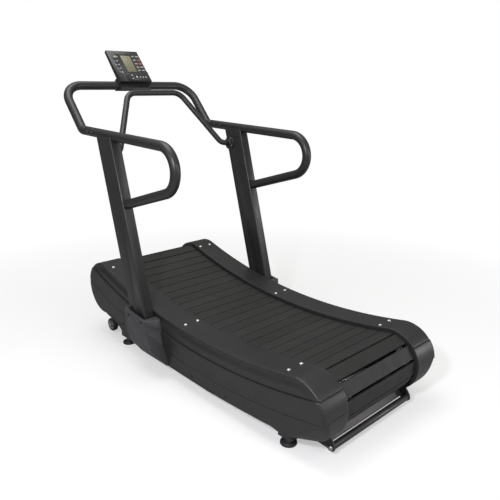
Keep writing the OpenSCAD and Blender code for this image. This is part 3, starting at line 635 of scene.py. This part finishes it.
def poly_at(pts, u):
    """Point at fraction u of a side-view polyline, smoothed by a Catmull-Rom spline."""
    ds = [0]
    for a, b in zip(pts, pts[1:]):
        ds.append(ds[-1] + math.dist(a, b))
    s = u * ds[-1]
    i = max(0, min(len(pts) - 2, sum(1 for d in ds[1:-1] if d <= s)))
    t = (s - ds[i]) / (ds[i + 1] - ds[i])
    p0, p1, p2, p3 = pts[max(i - 1, 0)], pts[i], pts[i + 1], pts[min(i + 2, len(pts) - 1)]
    return tuple(0.5 * (2 * b + (c - a) * t + (2 * a - 5 * b + 4 * c - d) * t * t + (3 * b - a - 3 * c + d) * t ** 3) for a, b, c, d in zip(p0, p1, p2, p3))


SKIRT_X = 353.4
BOTTOM = [(-660, 78), (-632, 73), (-600, 71), (-565, 75), (-530, 72), (-400, 64.5), (-260, 58.5), (-110, 58.5), (130, 61.5), (300, 61.5), (355, 65), (400, 72), (440, 88),
          (478, 116), (503, 124), (560, 134), (610, 142), (667, 140.5)]


def skirt(side):
    d0 = SEAM_D + 0.8
    yf, zf, af = lip_corner(d0, 0, True)
    rear = [(-803, 194), (-784, 168), (-747, 137), (-704, 106), (-660, 78)]
    tA0, tA1 = math.asin((-803 - YC) / (R + d0)), math.asin((yf - YC) / (R + d0))
    A0 = (YC + (R + d0) * math.sin(tA0), ZC - (R + d0) * math.cos(tA0))
    rear[0] = A0

    def A(u):
        t = tA0 + (tA1 - tA0) * u
        return (YC + (R + d0) * math.sin(t), ZC - (R + d0) * math.cos(t))

    def B(u):
        return poly_at(BOTTOM, u)

    def Er(w):
        return poly_at(rear, w)

    def Ef(w):
        a = af + (-math.pi / 2 - af) * w
        return (FY + TR * math.cos(a), FZ + TR * math.sin(a))

    def S(u, w):
        a, b, e, f = A(u), B(u), Er(w), Ef(w)
        c00, c10, c01, c11 = A(0), A(1), B(0), B(1)
        return tuple((1 - w) * a[i] + w * b[i] + (1 - u) * e[i] + u * f[i]
                     - ((1 - u) * (1 - w) * c00[i] + u * (1 - w) * c10[i] + (1 - u) * w * c01[i] + u * w * c11[i]) for i in (0, 1))

    def bez(p, q, r_, k, n):
        out = []
        for j in range(k):
            t = (j + 1) / (n + 1)
            out.append(tuple((1 - t) ** 2 * a + 2 * t * (1 - t) * b + t * t * c for a, b, c in zip(p, q, r_)))
        return out

    rows = [(0.0, 3.0), (0.0, 1.2), (0.008, 0.35), (0.025, 0.0)] + [(0.025 + 0.95 * k / 14, 0.0) for k in range(1, 15)] + [(0.988, 0.5), (1.0, 1.8), (1.0, 4.0)]
    NS = 110
    verts = []
    for w, off in rows:
        xo = SKIRT_X - off
        zg = 194.6 + (83 - 194.6) * w
        rr = TR - off
        yg = RY - math.sqrt(max(1.0, rr ** 2 - (RZ - zg) ** 2))
        x1 = 339 + (298 - 339) * w - off * 0.5
        Q0, C1 = (LIP, yg, zg), (x1, yg, zg)
        e = Er(w)
        C2 = (xo, e[0] + off * 0.4, e[1])
        leg = math.dist(C1, C2)
        ra = min(10.0, leg * 0.42)
        p_in = lerp(C1, Q0, ra / math.dist(C1, Q0))
        p_out = lerp(C1, C2, ra / leg)
        q = 46.0 / math.dist((yg, zg), (RY, RZ))
        row = [(LIP + 0.8, yg + (RY - yg) * q, zg + (RZ - zg) * q), (LIP + 0.3, yg + (RY - yg) * q * 0.2, zg + (RZ - zg) * q * 0.2)]
        row += [lerp(Q0, p_in, k / 7) for k in range(8)]
        row += bez(p_in, C1, p_out, 5, 5) + [p_out]
        rb = min(12.0, leg * 0.45)
        p_in2 = lerp(C2, C1, rb / leg)
        row += [lerp(p_out, p_in2, k / 4) for k in range(1, 4)] + [p_in2]
        u0 = 14.0 / 1460
        s0 = S(u0, w)
        s1 = S(1 - u0, w)
        row += bez(p_in2, C2, (xo, *s0), 5, 5)
        row += [(xo, *S(u0 + (1 - 2 * u0) * k / NS, w)) for k in range(NS + 1)]
        f = Ef(w)
        C3 = (xo, *f)
        p_in3 = (xo - 13, *f)
        row += bez((xo, *s1), C3, p_in3, 5, 5) + [p_in3]
        row += [(xo - 13 + (LIP - xo + 13) * k / 7, *f) for k in range(1, 8)]
        verts += [mm(side * x, y, z) for x, y, z in row]
    n = len(verts) // len(rows)
    name = ("right" if side > 0 else "left") + "_lower_skirt"
    ob = add(name + "_shell", verts, grid(len(rows), n), M["cover"], "chassis", smooth=50, thick=3.0,
             interior=lambda c: (side * 0.28, max(-0.66, min(0.55, c.y)), max(c.z, 0.16)), replaces=[name])
    cut(ob, BOOT_CUT, 338)
    return ob


for sd in (-1, 1):
    top_cover(sd)
    side_panel(sd)
    skirt(sd)
cad(M["cover"], "front_cover", bevel=1.0)


# ------------------------------------------------------------------ running slats
RP = LOOP - 13.0
RPD = R + TR - LOOP + 13.0
PHI = math.atan2(FZ - RZ, FY - RY)
SPAN = math.hypot(FZ - RZ, FY - RY)
L1 = RPD * (TH_F - TH_R)
L2 = RP * (math.pi + TH_F - PHI)
L3 = SPAN
L4 = RP * (math.pi + PHI - TH_R)
LOOP_LEN = L1 + L2 + L3 + L4
COUNT = 56
PITCH = LOOP_LEN / COUNT
S_GAP = (math.asin((24 - YC) / RPD) - TH_R) * RPD


def on_loop(s):
    s -= LOOP_LEN * math.floor(s / LOOP_LEN)
    if s < L1:
        t = TH_R + s / RPD
        return YC + RPD * math.sin(t), ZC - RPD * math.cos(t), math.pi / 2 + t
    if s < L1 + L2:
        a = math.pi / 2 + TH_F - (s - L1) / RP
        return FY + RP * math.cos(a), FZ + RP * math.sin(a), a
    if s < L1 + L2 + L3:
        u, a = s - L1 - L2, PHI - math.pi / 2
        return FY + RP * math.cos(a) - u * math.cos(PHI), FZ + RP * math.sin(a) - u * math.sin(PHI), a
    a = PHI + 1.5 * math.pi - (s - L1 - L2 - L3) / RP
    return RY + RP * math.cos(a), RZ + RP * math.sin(a), a


def slats():
    w, t = PITCH - 4.2, 10.0
    hw = w / 2
    # across the belt: softly rounded top edges, squarer lower edges
    sec = []
    r = 2.2
    for k in range(5):
        q = math.pi / 2 * k / 4
        sec.append((hw - r + r * math.cos(q), 3 + t - r + r * math.sin(q)))
    for k in range(1, 8):
        sec.append((hw - r - (2 * hw - 2 * r) * k / 8, 13.0 + 0.0))
    for k in range(5):
        q = math.pi / 2 + math.pi / 2 * k / 4
        sec.append((-hw + r + r * math.cos(q), 3 + t - r + r * math.sin(q)))
    sec += [(-hw, 4.0), (-hw + 0.8, 3.1), (hw - 0.8, 3.1), (hw, 4.0)]
    # stiffening rib under the slat, between the belts
    rib = [(-5, 3.3), (-5, -15.8), (-4, -16.4), (4, -16.4), (5, -15.8), (5, 3.3)]
    rng = random.Random(11)
    verts, faces, along, tone = [], [], [], []
    xs = [-219.9, -219.5, -218.6, -216, -160, -80, 0, 80, 160, 216, 218.6, 219.5, 219.9]
    for s in range(COUNT):
        y0, z0, a = on_loop(S_GAP + (s + 0.5) * PITCH)
        ey, ez = math.cos(a - math.pi / 2), math.sin(a - math.pi / 2)  # local +y
        ny, nz = math.cos(a), math.sin(a)
        shade = rng.random()
        for sct, cuts in ((sec, xs), (rib, [-158, -157, 157, 158])):
            base, n = len(verts), len(sct)
            for i, x in enumerate(cuts):
                inset = {0: 1.0, 1: 0.45, 2: 0.1}.get(min(i, len(cuts) - 1 - i), 0.0)
                for (p, q) in sct:
                    if sct is rib:
                        pp, qq = (p - math.copysign(0.8, p), q + (0.8 if q < 0 else 0.0)) if i in (0, 3) else (p, q)
                    else:
                        pp = p - math.copysign(inset, p) if abs(p) > 6 else p
                        qq = q - inset if q > 8 else q
                    verts.append(mm(x, y0 + ey * pp + ny * qq, z0 + ez * pp + nz * qq))
                    along.append(p)
                    tone.append(shade)
            for i in range(len(cuts) - 1):
                for k in range(n):
                    k2 = (k + 1) % n
                    faces.append((base + i * n + k, base + i * n + k2, base + (i + 1) * n + k2, base + (i + 1) * n + k))
            faces.append(tuple(base + k for k in range(n)))
            faces.append(tuple(base + (len(cuts) - 1) * n + k for k in reversed(range(n))))
    me_attr = {"along": along, "tone": tone}
    me = bpy.data.meshes.new("running_slats_moulded")
    me.from_pydata(verts, [], faces)
    for k, vals in me_attr.items():
        me.attributes.new(k, "FLOAT", "POINT").data.foreach_set("value", vals)
    bm = bmesh.new()
    bm.from_mesh(me)
    bmesh.ops.recalc_face_normals(bm, faces=bm.faces)
    bm.to_mesh(me)
    bm.free()
    me.materials.append(M["slat"])
    for p in me.polygons:
        p.use_smooth = True
    me.set_sharp_from_angle(angle=math.radians(35))
    ob = bpy.data.objects.new("running_slats_moulded", me)
    scene.collection.objects.link(ob)
    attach(ob, "chassis")
    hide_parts("running_slats")
    return ob


slats()
cad(M["belt"], "slat_belts")
cad(M["bright"], "slat_screws", "cover_screws")


# ------------------------------------------------------------------ rails and bars
PX = 375.5
for sd, nm in ((-1, "left"), (1, "right")):
    tube(nm + "_handrail_tube", [(sd * PX, 640, 1065.5), (sd * PX, -548.4, 1016.3), (sd * PX, 322, 762.4)], [0, 94.8, 0], 21.0, M["paint"],
         replaces=[nm + "_handrail"])
tube("front_bar_tube", [(-PX, 640.8, 1065.5), (-PX, 681, 1067.2), (-PX, 858, 1268), (PX, 858, 1268), (PX, 681, 1067.2), (PX, 640.8, 1065.5)],
     [0, 30, 97, 97, 30, 0], 21.0, M["paint"], replaces=["front_bar"])

FX = PX - 25
LEAN = math.radians(14.6)
flange_profile = [(0.0, -5.0), (30.0, -5.0), (32.6, -4.4), (33.8, -3.0), (34.0, -1.6), (34.0, -0.1), (0.0, -0.1)]
ev, ef = [], []
for sd in (-1, 1):
    v, f = lathe_mesh(flange_profile, (sd * FX, 465, 975), (sd, 0, 0), segs=48)
    base = len(ev)
    ev += v
    ef += [tuple(i + base for i in q) for q in f]
    wv, wf = lathe_mesh([(0.0, -11.0), (14.6, -11.0), (16.8, -8.2), (18.6, -5.4), (19.0, -4.6), (0.0, -4.6)], (sd * FX, 466.5, 975.5), (sd, 0, 0), segs=40)
    base = len(ev)
    ev += wv
    ef += [tuple(i + base for i in q) for q in wf]
tube("cross_bar_tube", [(-FX + 5, 466, 975), (-FX + 50, 478, 980), (-150, 633, 1233), (150, 633, 1233), (FX - 50, 478, 980), (FX - 5, 466, 975)],
     [0, 42, 66, 66, 42, 0], 14.0, M["paint"], replaces=["cross_bar"], extra=(ev, ef))
cad(M["paint"], "left_upright", "right_upright", bevel=0.8)
cad(M["fitting"], "rail_joint_fittings")
cad(M["boot"], "left_boot", "right_boot", bevel=1.3, segments=2, angle=5)

# ------------------------------------------------------------------ chassis
cad(M["steel"], "side_beams", "cross_tubes", "floor_legs", "bearing_rails", "rail_brackets", "bearing_blocks", "cover_supports", "wheel_brackets",
    "lift_bar_brackets", bevel=0.9)
cad(M["axle"], "front_axle", "rear_axle")
cad(M["bearing"], "track_bearings", "axle_bearings", "speed_magnet")
cad(M["bolt"], "track_bearing_bolts", "chassis_bolts")
cad(M["pulley"], "front_pulleys", "rear_pulleys")
cad(M["sensor"], "speed_sensor")
cad(M["cable"], "sensor_cable")
cad(M["dark_screw"], "trim_screws")
# domed heads of the skirt screws, and their washers
hv, hf = [], []
for sd in (-1, 1):
    for y, z in ((-315, 80), (-90, 80), (470, 135)):
        v, f = lathe_mesh([(0.0, 0.9), (2.0, 0.9), (2.3, 2.0), (3.4, 2.3), (4.5, 1.7), (4.9, 0.6), (5.8, 0.5), (5.9, 0.0), (0.0, 0.0)], (sd * 353.5, y, z), (sd, 0, 0), segs=32)
        base = len(hv)
        hv += v
        hf += [tuple(base + i for i in q) for q in f]
add("skirt_screw_heads", hv, hf, M["dark_screw"], "chassis", smooth=32)
cad(M["plate"], "rear_plate", bevel=0.5)
cad(M["bar"], "lift_bar", bevel=1.0)


# ------------------------------------------------------------------ wheels and feet
def wheel(side):
    name = ("right" if side > 0 else "left") + "_transport_wheel"
    body = ("right" if side > 0 else "left") + "_wheel"
    o = (side * 312.2, 654, 61)
    ax = (side, 0, 0)
    tread = [(25.0, -11.2), (26.0, -12.0), (30.0, -12.1), (32.4, -11.4), (33.6, -9.6), (33.95, -7.0), (33.95, -4.6), (33.3, -4.1), (33.3, -3.3), (33.95, -2.8),
             (33.95, 2.8), (33.3, 3.3), (33.3, 4.1), (33.95, 4.6), (33.95, 7.0), (33.6, 9.6), (32.4, 11.4), (30.0, 12.1), (26.0, 12.0), (25.0, 11.2)]
    lathe(name + "_tyre", tread, o, ax, M["tread"], body, segs=96, smooth=40, replaces=[name])
    hub = [(5.06, -12.6), (10.5, -13.0), (12.0, -12.2), (12.8, -9.4), (21.0, -8.4), (22.6, -10.6), (24.2, -11.6), (25.2, -11.2), (25.2, 11.2), (24.2, 11.6),
           (22.6, 10.6), (21.0, 8.4), (12.8, 9.4), (12.0, 12.2), (10.5, 13.0), (5.06, 12.6)]
    v, f = lathe_mesh(hub, o, ax, segs=72)
    # six raised ribs on each face of the hub
    for face in (-1, 1):
        for k in range(6):
            a = 2 * math.pi * k / 6 + 0.2
            u = Vector((0, math.cos(a), math.sin(a)))
            w = Vector((0, -math.sin(a), math.cos(a)))
            base = len(v)
            for r_, hw_ in ((11.5, 2.3), (22.8, 1.5)):
                for h_, s_ in ((8.0, 1.25), (11.2, 0.8)):
                    for sg in (-1, 1):
                        p = Vector(o) + Vector(ax) * face * h_ + u * r_ + w * sg * hw_ * s_
                        v.append(mm(*p))
            f += [tuple(base + i for i in q) for q in ((0, 1, 3, 2), (4, 6, 7, 5), (0, 2, 6, 4), (1, 5, 7, 3), (2, 3, 7, 6), (0, 4, 5, 1))]
    add(name + "_hub", v, f, M["hub"], body, smooth=35)
    # three pale lobes on each face
    v, f = [], []
    for face in (-1, 1):
        for k in range(3):
            a0 = 2 * math.pi * k / 3 + 0.45
            base = len(v)
            for h_ in (8.2, 12.4):
                for r_ in (13.2, 22.0):
                    for j in range(7):
                        a = a0 + (j - 3) / 3 * (0.62 if r_ > 15 else 0.42)
                        v.append(mm(*(Vector(o) + Vector(ax) * face * h_ + Vector((0, math.cos(a), math.sin(a))) * r_)))
            for lvl in (0, 14):
                f += [tuple(base + lvl + i for i in (j, j + 1, j + 8, j + 7)) for j in range(6)]
            for row in (0, 7):
                f += [tuple(base + row + i for i in (j, j + 1, j + 15, j + 14)) for j in range(6)]
            f += [(base, base + 7, base + 21, base + 14), (base + 6, base + 13, base + 27, base + 20)]
    add(name + "_lobes", v, f, M["lobe"], body, smooth=35, bevel=0.5)


wheel(-1)
wheel(1)


def foot(node, body, x, y, top):
    prof = [(0.0, 0.2), (29.0, 0.2), (31.0, 0.9), (31.9, 2.4), (31.9, 8.4), (31.2, 9.9), (29.4, 11.2), (27.5, 11.9), (26.6, 13.2), (25.0, 13.9), (15.4, 17.3),
            (13.6, 18.4), (12.4, 20.4), (11.6, 23.9), (8.4, 24.0)]
    # threads on the stud
    zt = 30.2
    prof2 = [(8.4, 24.0), (8.4, 24.2), (11.0, 24.2)]
    v, f = lathe_mesh([(r, h) for r, h in prof], (x, y, 0), (0, 0, 1), segs=72)
    add(node + "_pad", v, f, M["foot"], body, smooth=30, replaces=[node])
    stud = [(0.0, 23.0)]
    h = 24.0
    while h < top - 2:
        stud += [(7.0, h), (7.9, h + 0.55), (7.9, h + 0.9), (7.0, h + 1.45)]
        h += 1.5
    stud += [(6.6, top - 0.5), (0.0, top - 0.2)]
    v, f = lathe_mesh(stud, (x, y, 0), (0, 0, 1), segs=36)
    nut = []
    base = len(v)
    for zz, rr in ((24.1, 11.0), (24.7, 11.9), (28.9, 11.9), (29.45, 11.0)):
        for k in range(6):
            a = math.pi / 3 * k
            v.append(mm(x + rr * math.cos(a), y + rr * math.sin(a), zz))
    f += [tuple(base + i for i in q) for q in grid(4, 6, close_v=True)]
    f.append(tuple(base + k for k in range(6)))
    f.append(tuple(base + 18 + k for k in reversed(range(6))))
    add(node + "_stud", v, f, M["bolt"], body, smooth=30)


for nm, x, y, top in (("front_left", -300, 515, 90), ("front_right", 300, 515, 90), ("rear_left", -300, -610, 66), ("rear_right", 300, -610, 66)):
    foot(nm + "_foot", nm + "_levelling_foot", x, y, top)

# small fasteners that show in the open gaps between slats on the rear roller
v, f = [], []
for sd in (-1, 1):
    for s_off in (1.0, 2.0, 3.0, 4.0):
        y0, z0, a = on_loop(S_GAP + (math.floor((0 - S_GAP) / PITCH) - s_off + 1) * PITCH + 0.0)
        for x in (176.5, 193.5):
            o = Vector((sd * x, y0, z0)) - Vector((0, math.cos(a), math.sin(a))) * 0.2
            hv, hf = lathe_mesh([(0.0, 3.0), (1.6, 3.0), (1.6, 2.2), (2.6, 2.2), (3.2, 1.6), (3.5, 0.0), (0.0, 0.0)], o, (0, math.cos(a), math.sin(a)), segs=20)
            base = len(v)
            v += hv
            f += [tuple(base + i for i in q) for q in hf]
add("belt_rivets", v, f, M["bright"], "chassis", smooth=35)

# ------------------------------------------------------------------ console
CT = math.radians(90 - 41.7)
CY, CZ, CX = 812.7, 1289.7, 12.0


def con(x, v, w):
    return mm(CX + x, CY + v * math.cos(CT) - w * math.sin(CT), CZ + v * math.sin(CT) + w * math.cos(CT))


def rounded_rect(x0, x1, v0, v1, r, k=5):
    out = []
    for cx, cv, a0 in ((x1 - r, v0 + r, -90), (x1 - r, v1 - r, 0), (x0 + r, v1 - r, 90), (x0 + r, v0 + r, 180)):
        for i in range(k + 1):
            a = math.radians(a0 + 90 * i / k)
            out.append((cx + r * math.cos(a), cv + r * math.sin(a)))
    return out


def round_corners(pts, r, k=4):
    out = []
    n = len(pts)
    for i in range(n):
        p, c, q = pts[i - 1], pts[i], pts[(i + 1) % n]
        a = lerp(c, p, min(0.45, r / math.dist(p, c)))
        b = lerp(c, q, min(0.45, r / math.dist(q, c)))
        for j in range(k + 1):
            t = j / k
            out.append(tuple((1 - t) ** 2 * x + 2 * t * (1 - t) * y + t * t * z for x, y, z in zip(a, c, b)))
    return out


def shrink(pts, d):
    n = len(pts)
    area = sum(pts[i][0] * pts[(i + 1) % n][1] - pts[(i + 1) % n][0] * pts[i][1] for i in range(n))
    sg = 1 if area > 0 else -1
    out = []
    for i in range(n):
        p, c, q = pts[i - 1], pts[i], pts[(i + 1) % n]
        e = (q[0] - p[0], q[1] - p[1])
        ln = math.hypot(*e) or 1
        out.append((c[0] - sg * e[1] / ln * d, c[1] + sg * e[0] / ln * d))
    return out


def slabs(items, place=None):
    """Prisms with softened upper edges: (outline, w0, w1, edge)."""
    place = place or con
    verts, faces = [], []
    for pts, w0, w1, e in items:
        n = len(pts)
        base = len(verts)
        rings = [(pts, w0), (pts, w1 - e), (shrink(pts, e * 0.3), w1 - e * 0.3), (shrink(pts, e), w1)]
        for ring, w in rings:
            verts += [place(x, v, w) for x, v in ring]
        faces += [tuple(base + i for i in q) for q in grid(4, n, close_v=True)]
        faces.append(tuple(base + k for k in range(n)))
        faces.append(tuple(base + 3 * n + k for k in reversed(range(n))))
    return verts, faces


cad(M["case"], "console_back", "battery_door", bevel=1.6, segments=3)
cad(M["face"], "console_bezel", bevel=1.1, segments=3)
cad(M["lcd"], "console_display", bevel=0.3)
cad(M["board"], "console_electronics")
cad(M["key_dark"], "up_key", "down_key", "enter_key", "start_key", "stop_key", "mode_key", bevel=0.5)

# frame round the display window, and the lamp lenses
win = rounded_rect(-22, 34, 65, 177, 2.0)
outer = rounded_rect(-26.5, 38.5, 60.5, 181.5, 5.0)
verts, faces = [], []
rings = [(win, -1.2), (win, 0.5), (shrink(win, -0.8), 1.1), (shrink(outer, 0.9), 1.1), (shrink(outer, 0.2), 0.6), (outer, -0.1)]
for ring, w in rings:
    verts += [con(x, v_, w) for x, v_ in ring]
faces = grid(len(rings), len(win), close_v=True)
add("display_frame", verts, faces, M["case"], "console", smooth=35)

items = []
for v_ in (137, 112, 87, 62):
    pts = [(-55 + 3.3 * math.cos(2 * math.pi * k / 20), v_ + 3.3 * math.sin(2 * math.pi * k / 20)) for k in range(20)]
    items.append((pts, 0.1, 1.3, 0.9))
v, f = slabs(items)
add("status_lamps", v, f, M["lamp"], "console", smooth=50)

# printed marks: plain bars and dots only
items = [(rounded_rect(-65, -39, 163, 169, 1.5), 0.02, 0.22, 0.05), (rounded_rect(-60, -46, 171.5, 174.5, 1.0), 0.02, 0.22, 0.05)]
for v_ in (172, 147, 122, 98, 77):
    items.append((rounded_rect(45, 60, v_ - 3.2, v_ + 3.2, 1.2), 0.02, 0.22, 0.05))
for v_ in (172, 98, 77):
    items.append((rounded_rect(69, 87, v_ - 3.2, v_ + 3.2, 1.2), 0.02, 0.22, 0.05))
for v_ in (137, 112, 87, 62):
    items.append((rounded_rect(-72, -63, v_ - 1.2, v_ + 1.2, 0.8), 0.02, 0.22, 0.05))
v, f = slabs(items)
add("face_marks", v, f, M["mark"], "console", smooth=50)
items = [(rounded_rect(69, 87, v_ - 5.0, v_ + 5.0, 1.5), 0.02, 0.24, 0.05) for v_ in (147, 122)]
v, f = slabs(items)
add("face_marks_red", v, f, M["mark_red"], "console", smooth=50)


def digit(x, v_, s, segs):
    """Seven-segment digit with its lower left corner at (x, v_), s millimetres high."""
    w_, t = s * 0.5, s * 0.10
    h = s / 2
    bars = {"a": (t, s - t, w_ - t, s), "d": (t, 0, w_ - t, t), "g": (t, h - t / 2, w_ - t, h + t / 2), "f": (0, h + t * 0.4, t, s - t * 0.6),
            "e": (0, t * 0.6, t, h - t * 0.4), "b": (w_ - t, h + t * 0.4, w_, s - t * 0.6), "c": (w_ - t, t * 0.6, w_, h - t * 0.4)}
    return [(rounded_rect(x + a, x + c, v_ + b, v_ + d, t * 0.3, 2), -0.58, -0.50, 0.02) for k, (a, b, c, d) in bars.items() if k in segs]


SEG = {"0": "abcdef", "1": "bc", "2": "abged", "3": "abgcd", "4": "fgbc", "5": "afgcd", "6": "afgecd", "7": "abc", "8": "abcdefg", "9": "abcdfg"}
items = []
for row, (v_, size, text) in enumerate(((154, 15, "0000"), (132, 12, "000"), (112, 12, "000"), (92, 12, "0000"), (72, 12, "000"))):
    x = 29 - len(text) * size * 0.66
    for ch in text:
        items += digit(x, v_, size, SEG[ch])
        x += size * 0.66
    items.append((rounded_rect(-17, -8, v_ + size * 0.35, v_ + size * 0.6, 0.8, 2), -0.58, -0.50, 0.02))
v, f = slabs(items)
M["seg"] = surface("lcd_segment", (0.070, 0.072, 0.045), (0.085, 0.086, 0.055), rough=(0.3, 0.4), patch=200)
add("display_digits", v, f, M["seg"], "console", smooth=50)


def key_sign(node, body, outline):
    v, f = slabs([(outline, 4.25, 4.75, 0.2)])
    add(node + "_sign", v, f, M["key"], body, smooth=50)


def tri(cx, cv, s, up):
    d = 1 if up else -1
    return round_corners([(cx - s, cv - d * s * 0.7), (cx + s, cv - d * s * 0.7), (cx, cv + d * s * 0.95)], 1.2)


key_sign("up_key", "up_button", tri(-13, 37, 4.8, True))
key_sign("down_key", "down_button", tri(-13, 15, 4.8, False))
key_sign("enter_key", "enter_button", rounded_rect(9.0, 17.0, 20.6, 31.4, 2.0))
for nm, x in (("start", 34), ("stop", 51), ("mode", 68)):
    key_sign(nm + "_key", nm + "_button", rounded_rect(x - 2.4, x + 2.4, 21.2, 30.8, 1.4))

# small catch on the console's right edge
v, f = slabs([(rounded_rect(89.5, 95.5, 53, 66, 2.0), -6.0, 1.6, 1.0)])
add("edge_catch", v, f, M["case"], "console", smooth=40)


# ------------------------------------------------------------------ stage, light, camera
def camera_ray(nt):
    return nt.nodes.new("ShaderNodeLightPath").outputs["Is Camera Ray"]


def plain_stage():
    me = bpy.data.meshes.new("floor")
    s = 60.0
    me.from_pydata([(-s, -s, -0.0006), (s, -s, -0.0006), (s, s, -0.0006), (-s, s, -0.0006)], [], [(0, 1, 2, 3)])
    o = bpy.data.objects.new("floor", me)
    scene.collection.objects.link(o)
    m, nt, b = blank("floor_white")
    paper = ramp(nt, noise(nt, 0.8, 3), [(0.2, (0.90, 0.90, 0.905)), (0.8, (0.93, 0.93, 0.93))])
    path = nt.nodes.new("ShaderNodeLightPath")
    seen = mixc(nt, path.outputs["Is Glossy Ray"], (0.28, 0.28, 0.285), (0.42, 0.42, 0.43))
    nt.links.new(mixc(nt, camera_ray(nt), seen, paper), b.inputs["Base Color"])
    b.inputs["Roughness"].default_value = 0.9
    b.inputs["Specular IOR Level"].default_value = 0.1
    out = next(n for n in nt.nodes if n.type == "OUTPUT_MATERIAL")
    em = nt.nodes.new("ShaderNodeEmission")
    em.inputs["Color"].default_value = (1, 1, 1, 1)
    em.inputs["Strength"].default_value = 1.0
    g = nt.nodes.new("ShaderNodeNewGeometry")
    ln = nt.nodes.new("ShaderNodeVectorMath")
    ln.operation = "LENGTH"
    nt.links.new(g.outputs["Position"], ln.inputs[0])
    far = spread(nt, ln.outputs["Value"], FLOOR_NEAR, 1.0, 0.9, 2.6)
    mix = nt.nodes.new("ShaderNodeMixShader")
    nt.links.new(mul(nt, far, camera_ray(nt)), mix.inputs[0])
    nt.links.new(b.outputs[0], mix.inputs[1])
    nt.links.new(em.outputs[0], mix.inputs[2])
    nt.links.new(mix.outputs[0], out.inputs["Surface"])
    me.materials.append(m)


FLOOR_NEAR = 0.44
plain_stage()
world = bpy.data.worlds.new("studio")
scene.world = world
world.use_nodes = True
wn = world.node_tree
wn.nodes.clear()
wo = wn.nodes.new("ShaderNodeOutputWorld")
wall = wn.nodes.new("ShaderNodeBackground")
wall.inputs["Color"].default_value = (1, 1, 1, 1)
wall.inputs["Strength"].default_value = 1.0
room = wn.nodes.new("ShaderNodeBackground")
tc = wn.nodes.new("ShaderNodeTexCoord")
sp = wn.nodes.new("ShaderNodeSeparateXYZ")
wn.links.new(tc.outputs["Generated"], sp.inputs[0])
wn.links.new(ramp(wn, sp.outputs["Z"], [(0.0, (0.16, 0.16, 0.165)), (0.35, (0.30, 0.30, 0.30)), (0.8, (0.62, 0.62, 0.60))]), room.inputs["Color"])
room.inputs["Strength"].default_value = 0.75
wm = wn.nodes.new("ShaderNodeMixShader")
wn.links.new(camera_ray(wn), wm.inputs[0])
wn.links.new(room.outputs[0], wm.inputs[1])
wn.links.new(wall.outputs[0], wm.inputs[2])
wn.links.new(wm.outputs[0], wo.inputs[0])


def area(name, loc, target, size, power, color=(1, 1, 1), size_y=None):
    d = bpy.data.lights.new(name, "AREA")
    d.energy = power
    d.color = color
    d.size = size
    if size_y:
        d.shape = "RECTANGLE"
        d.size_y = size_y
    o = bpy.data.objects.new(name, d)
    scene.collection.objects.link(o)
    o.location = loc
    o.rotation_euler = (Vector(target) - Vector(loc)).to_track_quat("-Z", "Y").to_euler()
    return o


area("top_light", (-0.4, 0.4, 3.6), (0, 0, 0.3), 2.4, 58, color=(1, 0.99, 0.97), size_y=2.0)
area("left_light", (-3.2, 0.2, 2.2), (-0.3, 0, 0.35), 1.2, 9, color=(0.97, 0.97, 1.0), size_y=1.2)
area("ridge_light", (-2.15, -1.45, 1.95), (-0.35, -0.7, 0.25), 0.22, 50, color=(0.95, 0.95, 1.0), size_y=0.22)
area("low_light", (2.75, -2.95, 0.95), (-0.1, 0.2, 0.7), 0.9, 24, size_y=1.0)
area("rear_light", (0.2, -4.0, 2.0), (0, -0.6, 0.3), 1.6, 34, size_y=1.2)

cam = bpy.data.cameras.new("camera")
cam.sensor_width = 36.0
cam.lens = 39.078
co = bpy.data.objects.new("camera", cam)
scene.collection.objects.link(co)
co.location = (-1.56870, -1.77584 - MID / 1000, 1.25552)
co.rotation_euler = (math.radians(90 - 16.603), 0.0, math.radians(-42.687))
scene.camera = co
scene.view_settings.view_transform = "Standard"
